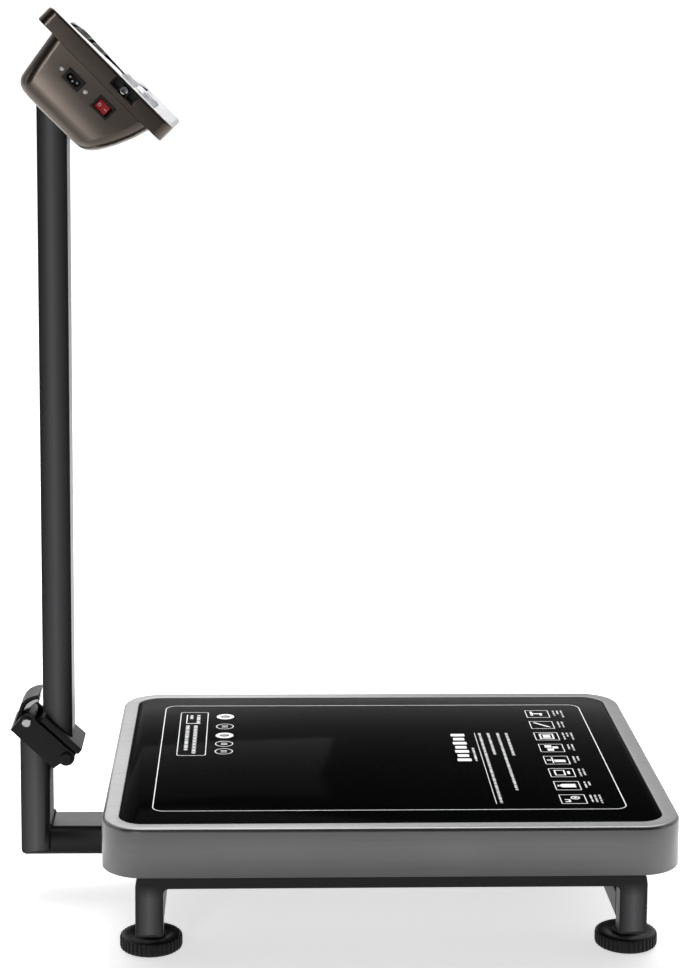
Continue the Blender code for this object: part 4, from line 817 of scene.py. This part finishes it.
# the front and rear faces of these square tubes are crowned: start and width along X from the node's own
# low side, half the depth along Y, low and high the Z span, drop the fall at the edges, all in mm; a leg
# is as wide as its side beam
crowns = {
    "column_tube": {"start": -0.04, "width": 27.0, "half": 20.0, "low": 100.0, "high": 760.0, "drop": 3.6},
    "column_bracket": {"start": 0.0, "width": 27.0, "half": 23.0, "low": 30.0, "high": 160.0, "drop": 3.8},
    "front_arch": {"half": 12.0, "low": 10.0, "high": 70.0, "drop": 3.0},
    "rear_arch": {"half": 12.0, "low": 10.0, "high": 70.0, "drop": 3.0},
}
crownForm = {"strips": 14, "fade": 12.0, "past": 2.0, "fall": 2.2, "sheenFall": 1.1, "slack": 0.1}


# each crowned stretch of a node, with its X span and the Y of its middle plane in mm
def crownSpans(node):
    look = crowns[node]
    middle = middleOf(node).y / mm
    if "width" in look:
        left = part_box(node)[0].x / mm + look["start"]
        return [dict(look, middle=middle, across=(left, left + look["width"]))]
    beams = [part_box("side_beam_" + side) for side in ("left", "right")]
    return [dict(look, middle=middle, across=(low.x / mm, high.x / mm)) for low, high in beams]


def crownCuts(bm, span):
    left, right = span["across"]
    strips = crownForm["strips"]
    xs = [left + (right - left) * i / strips for i in range(1, strips)] + [right + crownForm["past"]]
    cuts = [(Vector((x * mm, 0.0, 0.0)), Vector((1.0, 0.0, 0.0))) for x in xs]
    for z in (span["high"] - crownForm["fade"], span["high"]):
        cuts.append((Vector((0.0, 0.0, z * mm)), Vector((0.0, 0.0, 1.0))))
    for place, normal in cuts:
        faces = [
            face for face in bm.faces
            if abs(abs(face.calc_center_median().y / mm - span["middle"]) - span["half"]) < 0.2
            and abs(face.normal.y) > 0.99
        ]
        edges = {edge for face in faces for edge in face.edges}
        verts = {vert for face in faces for vert in face.verts}
        bmesh.ops.bisect_plane(
            bm, geom=faces + list(edges) + list(verts), dist=0.0000005, plane_co=place, plane_no=normal,
        )


def crowned(node):
    spans = crownSpans(node)
    slack = crownForm["slack"]

    def shape(bm):
        for span in spans:
            crownCuts(bm, span)
        # painted sheen mask: highest in the middle of each crowned face, nothing at its edges, fading out
        # near its top
        sheenMask = bm.verts.layers.float.new("crownSheen")
        for span in spans:
            left, right = span["across"]
            centre, wide = (left + right) / 2.0, (right - left) / 2.0
            for vert in bm.verts:
                x, y, z = vert.co / mm
                away = y - span["middle"]
                if not (left - slack <= x <= right + slack and span["low"] <= z <= span["high"] + slack):
                    continue
                if abs(away) < span["half"] - span["drop"] - 0.5:
                    continue
                share = min(1.0, abs(x - centre) / wide)
                fade = min(1.0, max(0.0, (span["high"] - z) / crownForm["fade"]))
                reach = span["half"] - span["drop"] * fade * share ** crownForm["fall"]
                if abs(away) > reach:
                    vert.co.y = (span["middle"] + math.copysign(reach, away)) * mm
                vert[sheenMask] = fade * (1.0 - share) ** crownForm["sheenFall"]
    return shape


frameBevels = {
    "front_arch": 0.0, "rear_arch": 0.0, "side_beam_left": 0.6, "side_beam_right": 0.6, "cross_beam": 0.8,
    "column_bracket": 0.8, "column_tube": 0.6, "hinge_cup": 0.9, "hinge_leaf": 0.9, "hinge_pin": 0.0,
    "latch_pin": 0.0, "latch_lever": 0.7, "latch_cam": 0.7, "load_cell": 0.6, "load_plate": 0.8,
    "tray_strip_left": 0.6, "tray_strip_right": 0.6,
}
for node, bevel in frameBevels.items():
    refined(node, bevel, shape=crowned(node) if node in crowns else None)
print("scale: frame and hinge done")

# Levelling feet

foot = {
    "low": 1.0, "high": 14.0, "radius": 26.2, "edge": 2.2, "edgeSteps": 5,
    "ribs": 40, "ribWidth": 2.3, "ribDepth": 1.3, "ribSides": 10,
}
# radius and height of the ring under the knob, from its low face, and of the collar on top, from its top
knobUnder = ((0.0, 3.2), (21.6, 3.2), (22.2, 0.3), (22.8, 0.0))
knobTop = (
    (17.0, -0.6), (16.0, -1.3), (12.8, -1.3), (11.8, 0.0), (6.6, 0.0), (5.6, -1.0), (0.0, -1.0),
)


# one grip rib of a knob, unit high
def makeRib():
    bm = bmesh.new()
    levels = ((0.0, 0.35), (0.10, 0.8), (0.22, 1.0), (0.78, 1.0), (0.90, 0.8), (1.0, 0.35))
    turns = [math.radians(360.0 * i / foot["ribSides"] - 90.0) for i in range(foot["ribSides"])]
    rings = []
    for rise, wide in levels:
        deep, half = foot["ribDepth"] * wide, foot["ribWidth"] / 2.0 * (0.6 + 0.4 * wide)
        rings.append([bm.verts.new((math.cos(a) * deep, math.sin(a) * half, rise)) for a in turns])
    skin(bm, rings)
    return sourceShape("ribShape", bm)


def makeFoot(corner, rib):
    centre = middleOf("foot_knob_" + corner)
    body = "foot_turn_" + corner
    low, high = foot["low"], foot["high"]
    edge, radius, steps = foot["edge"], foot["radius"], foot["edgeSteps"]
    profile = [(r, low + h) for r, h in knobUnder] + [(radius - 1.2, low), (radius, low + 1.2)]
    for step in range(steps + 1):
        angle = math.radians(90.0 * step / steps)
        profile.append((radius - edge * (1.0 - math.cos(angle)), high - 0.6 - edge * (1.0 - math.sin(angle))))
    profile += [(r, high + h) for r, h in knobTop]
    bm = turnedShape([(r * mm, h * mm) for r, h in profile], 96)
    bmesh.ops.translate(bm, verts=bm.verts, vec=(centre.x, centre.y, 0.0))
    knob = addPiece("knob_" + corner, meshFrom(bm, "knob"), body, "knobPlastic", 40.0)
    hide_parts("foot_knob_" + corner)
    places = []
    away = (radius - 0.1) * mm
    for i in range(foot["ribs"]):
        angle = 2 * math.pi * i / foot["ribs"]
        places.append((
            (centre.x + away * math.cos(angle), centre.y + away * math.sin(angle), (low + 0.7) * mm),
            (0.0, 0.0, angle), (mm, mm, (high - low - 2.2) * mm),
        ))
    placedPieces("knob_ribs_" + corner, places, rib, body, "knobPlastic", 1.0, 60.0)
    refined("foot_sole_" + corner, 0.5)
    refined("foot_stud_" + corner, 0.4)


ribShape = makeRib()
for corner in ("front_left", "rear_left", "front_right", "rear_right"):
    makeFoot(corner, ribShape)
bpy.data.objects.remove(ribShape)
print("scale: feet done")

# Indicator head

headBevels = {
    "head_housing": 0.5, "head_lid": 0.5, "face_panel": 0.4, "display_window": 0.5, "printer_door": 0.8,
    "mains_inlet": 0.3, "rocker_bezel": 0.4, "rocker": 0.5, "port_upper": 0.3, "port_lower": 0.3,
    "display_board": 0.2, "main_board": 0.2, "battery": 0.8, "power_board": 0.2, "printer_frame": 0.4,
    "print_head": 0.4, "feed_motor": 0.4, "label_roll": 0.4, "platen_roller": 0.3, "feed_pinion": 0.0,
}
for node, bevel in headBevels.items():
    refined(node, bevel)
for number in range(1, 9):
    refined("key_%d" % number, 0.6, 3)
print("scale: head done")

# Small parts: screws, contacts, stud, marks, numerals, weld bead and bolts

tilt = math.radians(45.0)
downFace = Vector((math.cos(tilt), 0.0, -math.sin(tilt)))    # along the head's face, toward the platform
outOfFace = Vector((math.sin(tilt), 0.0, math.cos(tilt)))
across = Vector((0.0, 1.0, 0.0))
towardFront = (math.radians(90.0), 0.0, 0.0)
small = {
    "screwReach": 13.8, "screwRadius": 2.3, "screwRise": 1.2,     # reach from the inlet's middle
    "contactReach": 3.9, "contactDrop": 1.5, "contactDepth": 2.4,
    "studRadius": 3.2, "studRise": 3.0,
    "boltRadius": 4.2, "boltRise": 3.0, "boltScale": 0.75, "boltReach": (1.8, 16.1), "boltAside": 29.0,
}
bead = {"drops": 24, "half": 20.5, "out": 27.16, "up": 27.2}      # out and up from the bracket's corner


# pan head with a cross recess, rising along +Z from its seat
def makeScrew():
    rise, radius = small["screwRise"], small["screwRadius"]
    profile = [(0.0, -0.6), (radius, -0.6), (radius, 0.15)]
    for step in range(1, 6):
        angle = math.radians(90.0 * step / 6.0)
        profile.append((radius * math.cos(angle), 0.15 + (rise - 0.15) * math.sin(angle)))
    profile.append((0.0, rise))
    head = sourceShape("screwHead", turnedShape([(r * mm, h * mm) for r, h in profile], 32))
    bm = bmesh.new()
    for wide, deep in ((radius * 1.3, 0.5), (0.5, radius * 1.3)):
        made = bmesh.ops.create_cube(bm, size=1.0)["verts"]
        bmesh.ops.scale(bm, verts=made, vec=(wide * mm, deep * mm, 1.2 * mm))
        bmesh.ops.translate(bm, verts=made, vec=(0.0, 0.0, (rise + 0.1) * mm))
    cross = sourceShape("screwCross", bm)
    recess = head.modifiers.new("recess", "BOOLEAN")
    recess.operation = "DIFFERENCE"
    recess.use_self = True
    recess.object = cross
    screw = sourceObject("screwShape", bake(head))
    bpy.data.objects.remove(cross)
    return screw


# hexagon head with a washer, rising along +Z
def makeBolt():
    radius, rise = small["boltRadius"] * mm, small["boltRise"] * mm
    washer, thick = radius * 1.25, 0.5 * mm
    bm = turnedShape([(0.0, 0.0), (washer, 0.0), (washer, thick), (0.0, thick)], 40)
    turns = [math.radians(60.0 * i) for i in range(6)]
    rings = []
    for share, height in ((1.0, thick), (1.0, rise - 0.5 * mm), (0.86, rise)):
        wide = radius * share
        rings.append([bm.verts.new((wide * math.cos(a), wide * math.sin(a), height)) for a in turns])
    skin(bm, rings)
    return sourceShape("boltShape", bm)


def makeScrews():
    screw = makeScrew()
    inlet = middleOf("mains_inlet")
    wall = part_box("head_housing")[0].y
    places = []
    for side in (-1.0, 1.0):
        place = inlet + downFace * side * small["screwReach"] * mm
        place.y = wall
        places.append((place, towardFront))
    placedPieces("inlet_screws", places, screw, "column", "zinc", 1.0, 30.0)
    bpy.data.objects.remove(screw)
    profile = [(0.0, 0.0), (0.95, 0.0), (0.95, 3.6), (0.6, 4.0), (0.0, 4.0)]
    contact = sourceShape("contactShape", turnedShape([(r * mm, h * mm) for r, h in profile], 20))
    aside = small["contactReach"]
    places = []
    for reach, drop in ((-aside, 0.0), (0.0, small["contactDrop"]), (aside, 0.0)):
        place = inlet + downFace * reach * mm - outOfFace * drop * mm
        place.y = wall + small["contactDepth"] * mm
        places.append((place, towardFront))
    placedPieces("inlet_contacts", places, contact, "column", "zinc")
    bpy.data.objects.remove(contact)


def makeStud():
    radius, rise = small["studRadius"], small["studRise"]
    profile = [(0.0, -2.0), (radius - 0.5, -2.0), (radius - 0.5, 0.0), (radius, 0.4), (radius, rise - 0.7)]
    profile += [(radius - 0.7, rise), (1.7, rise), (1.4, rise - 1.2), (0.0, rise - 1.2)]
    bm = turnedShape([(r * mm, h * mm) for r, h in profile], 40)
    centre = (middleOf("port_upper") + middleOf("port_lower")) / 2.0
    centre.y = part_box("head_lid")[0].y
    turned = Matrix.Translation(centre) @ Matrix.Rotation(math.radians(90.0), 4, "X")
    bmesh.ops.transform(bm, verts=bm.verts, matrix=turned)
    addPiece("port_stud", meshFrom(bm, "stud"), "column", "chrome", 30.0)


# flat marks laid on a face: each part is a list of corner pairs in mm, sideways and up the face
def layMarks(name, body, finish, centre, parts, rise, sideways, normal):
    bm = bmesh.new()
    for part in parts:
        rings = []
        for level in (-0.05, rise):
            rings.append([
                bm.verts.new(centre + (sideways * a - downFace * b + normal * level) * mm) for a, b in part
            ])
        skin(bm, rings)
    bmesh.ops.recalc_face_normals(bm, faces=bm.faces)
    addPiece(name, meshFrom(bm, name), body, finish)


def oblong(x0, x1, y0, y1):
    return [(x0, y0), (x1, y0), (x1, y1), (x0, y1)]


def spot(x, y, radius, count=18):
    return [
        (x + radius * math.cos(2 * math.pi * i / count), y + radius * math.sin(2 * math.pi * i / count))
        for i in range(count)
    ]


def faceTop(node):
    reach = max(vert.co.dot(outOfFace) for vert in frame["nodes"][node].data.vertices)
    centre = middleOf(node)
    return centre + outOfFace * (reach - centre.dot(outOfFace))


keyMarks = (
    [oblong(-4.0, 4.0, -0.5, 0.5)],
    [oblong(-4.0, 4.0, -0.5, 0.5), oblong(-0.5, 0.5, 0.7, 4.0), oblong(-0.5, 0.5, -4.0, -0.7)],
    [[(-3.6, -2.4), (3.6, -2.4), (0.0, 3.0)]],
    [[(-3.6, 2.4), (0.0, -3.0), (3.6, 2.4)]],
    [
        oblong(-3.4, 3.4, -2.6, -1.7), oblong(-3.4, 3.4, 1.7, 2.6),
        oblong(-3.4, -2.5, -1.5, 1.5), oblong(2.5, 3.4, -1.5, 1.5),
    ],
    [spot(0.0, 0.0, 2.6)],
    [oblong(-3.6, -1.2, -2.6, 2.6), oblong(1.2, 3.6, -2.6, 2.6)],
    [oblong(-3.6, 3.6, 1.6, 2.4), oblong(-3.6, 3.6, -0.4, 0.4), oblong(-3.6, 3.6, -2.4, -1.6)],
)
# the six outer strokes of a numeral, in half heights, and how the zeros are spaced
numeral = {
    "strokes": (
        (-0.8, 0.8, 1.76, 2.0), (0.76, 1.0, 0.12, 1.88), (0.76, 1.0, -1.88, -0.12),
        (-0.8, 0.8, -2.0, -1.76), (-1.0, -0.76, -1.88, -0.12), (-1.0, -0.76, 0.12, 1.88),
    ),
    "half": 3.4, "pitch": 15.0, "places": 5, "rows": (9.0, -9.5), "point": 0.6,
}
rockerMark = {"outer": 1.5, "inner": 1.0, "up": 3.4, "sides": 16, "bar": (-0.3, 0.3, -4.6, -2.0)}


# a ring as a row of four-cornered parts
def ringParts(up, outer, inner, sides):
    parts = []
    for i in range(sides):
        start, end = 2 * math.pi * i / sides, 2 * math.pi * (i + 1) / sides
        corners = ((outer, start), (outer, end), (inner, end), (inner, start))
        parts.append([(radius * math.cos(a), up + radius * math.sin(a)) for radius, a in corners])
    return parts


def makeFaceMarks():
    for number, parts in enumerate(keyMarks, 1):
        key = "key_%d" % number
        layMarks("key_mark_%d" % number, key + "_body", "mark", faceTop(key), parts, 0.06, across, outOfFace)
    size, pitch = numeral["half"], numeral["pitch"]
    parts = []
    for row, high in enumerate(numeral["rows"]):
        for place in range(numeral["places"]):
            x = (place - 2.0) * pitch
            for x0, x1, y0, y1 in numeral["strokes"]:
                parts.append(oblong(x + x0 * size, x + x1 * size, high + y0 * size, high + y1 * size))
        parts.append(spot((1.5 - row) * pitch, high - 2.0 * size + 0.5, numeral["point"]))
    window = faceTop("display_window")
    layMarks("display_numerals", "column", "digits", window, parts, 0.05, across, outOfFace)
    rocker = middleOf("rocker")
    rocker.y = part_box("rocker")[0].y
    ring = ringParts(rockerMark["up"], rockerMark["outer"], rockerMark["inner"], rockerMark["sides"])
    parts = [oblong(*rockerMark["bar"])] + ring
    layMarks("rocker_marks", "power_rocker", "mark", rocker, parts, 0.06, outOfFace, -across)


# weld beads: overlapping drops along a line
def makeBeads():
    turns = [math.radians(18.0 * i) for i in range(1, 10)]
    profile = [(0.0, -mm)] + [(math.sin(a) * mm, -math.cos(a) * mm) for a in turns] + [(0.0, mm)]
    drop = sourceShape("dropShape", turnedShape(profile, 12))
    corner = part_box("column_bracket")[0]
    x, z = corner.x + bead["out"] * mm, corner.z + bead["up"] * mm
    places = []
    for i in range(bead["drops"]):
        y = bead["half"] * (2.0 * i / (bead["drops"] - 1) - 1.0) * mm
        places.append(((x, y, z), (0.0, math.radians(45.0), 0.0), (2.5, 1.5, 1.7 + 0.3 * (i % 2))))
    placedPieces("bracket_bead", places, drop, "chassis", "powder", 1.0, 60.0)
    bpy.data.objects.remove(drop)


def makeHousingBolts():
    bolt = makeBolt()
    ground = min(vert.co.dot(outOfFace) for vert in frame["nodes"]["head_housing"].data.vertices)
    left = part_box("column_tube")[0].x
    aside = small["boltAside"] * mm
    places = []
    for reach in small["boltReach"]:
        x = left + reach * mm
        for y in (-aside, aside):
            place = (x, y, (ground - x * outOfFace.x) / outOfFace.z)
            places.append((place, (0.0, math.radians(225.0), 0.0)))
    placedPieces("housing_bolts", places, bolt, "column", "zinc", small["boltScale"], 30.0)
    bpy.data.objects.remove(bolt)


makeScrews()
makeStud()
makeFaceMarks()
makeBeads()
makeHousingBolts()
print("scale: small parts done")
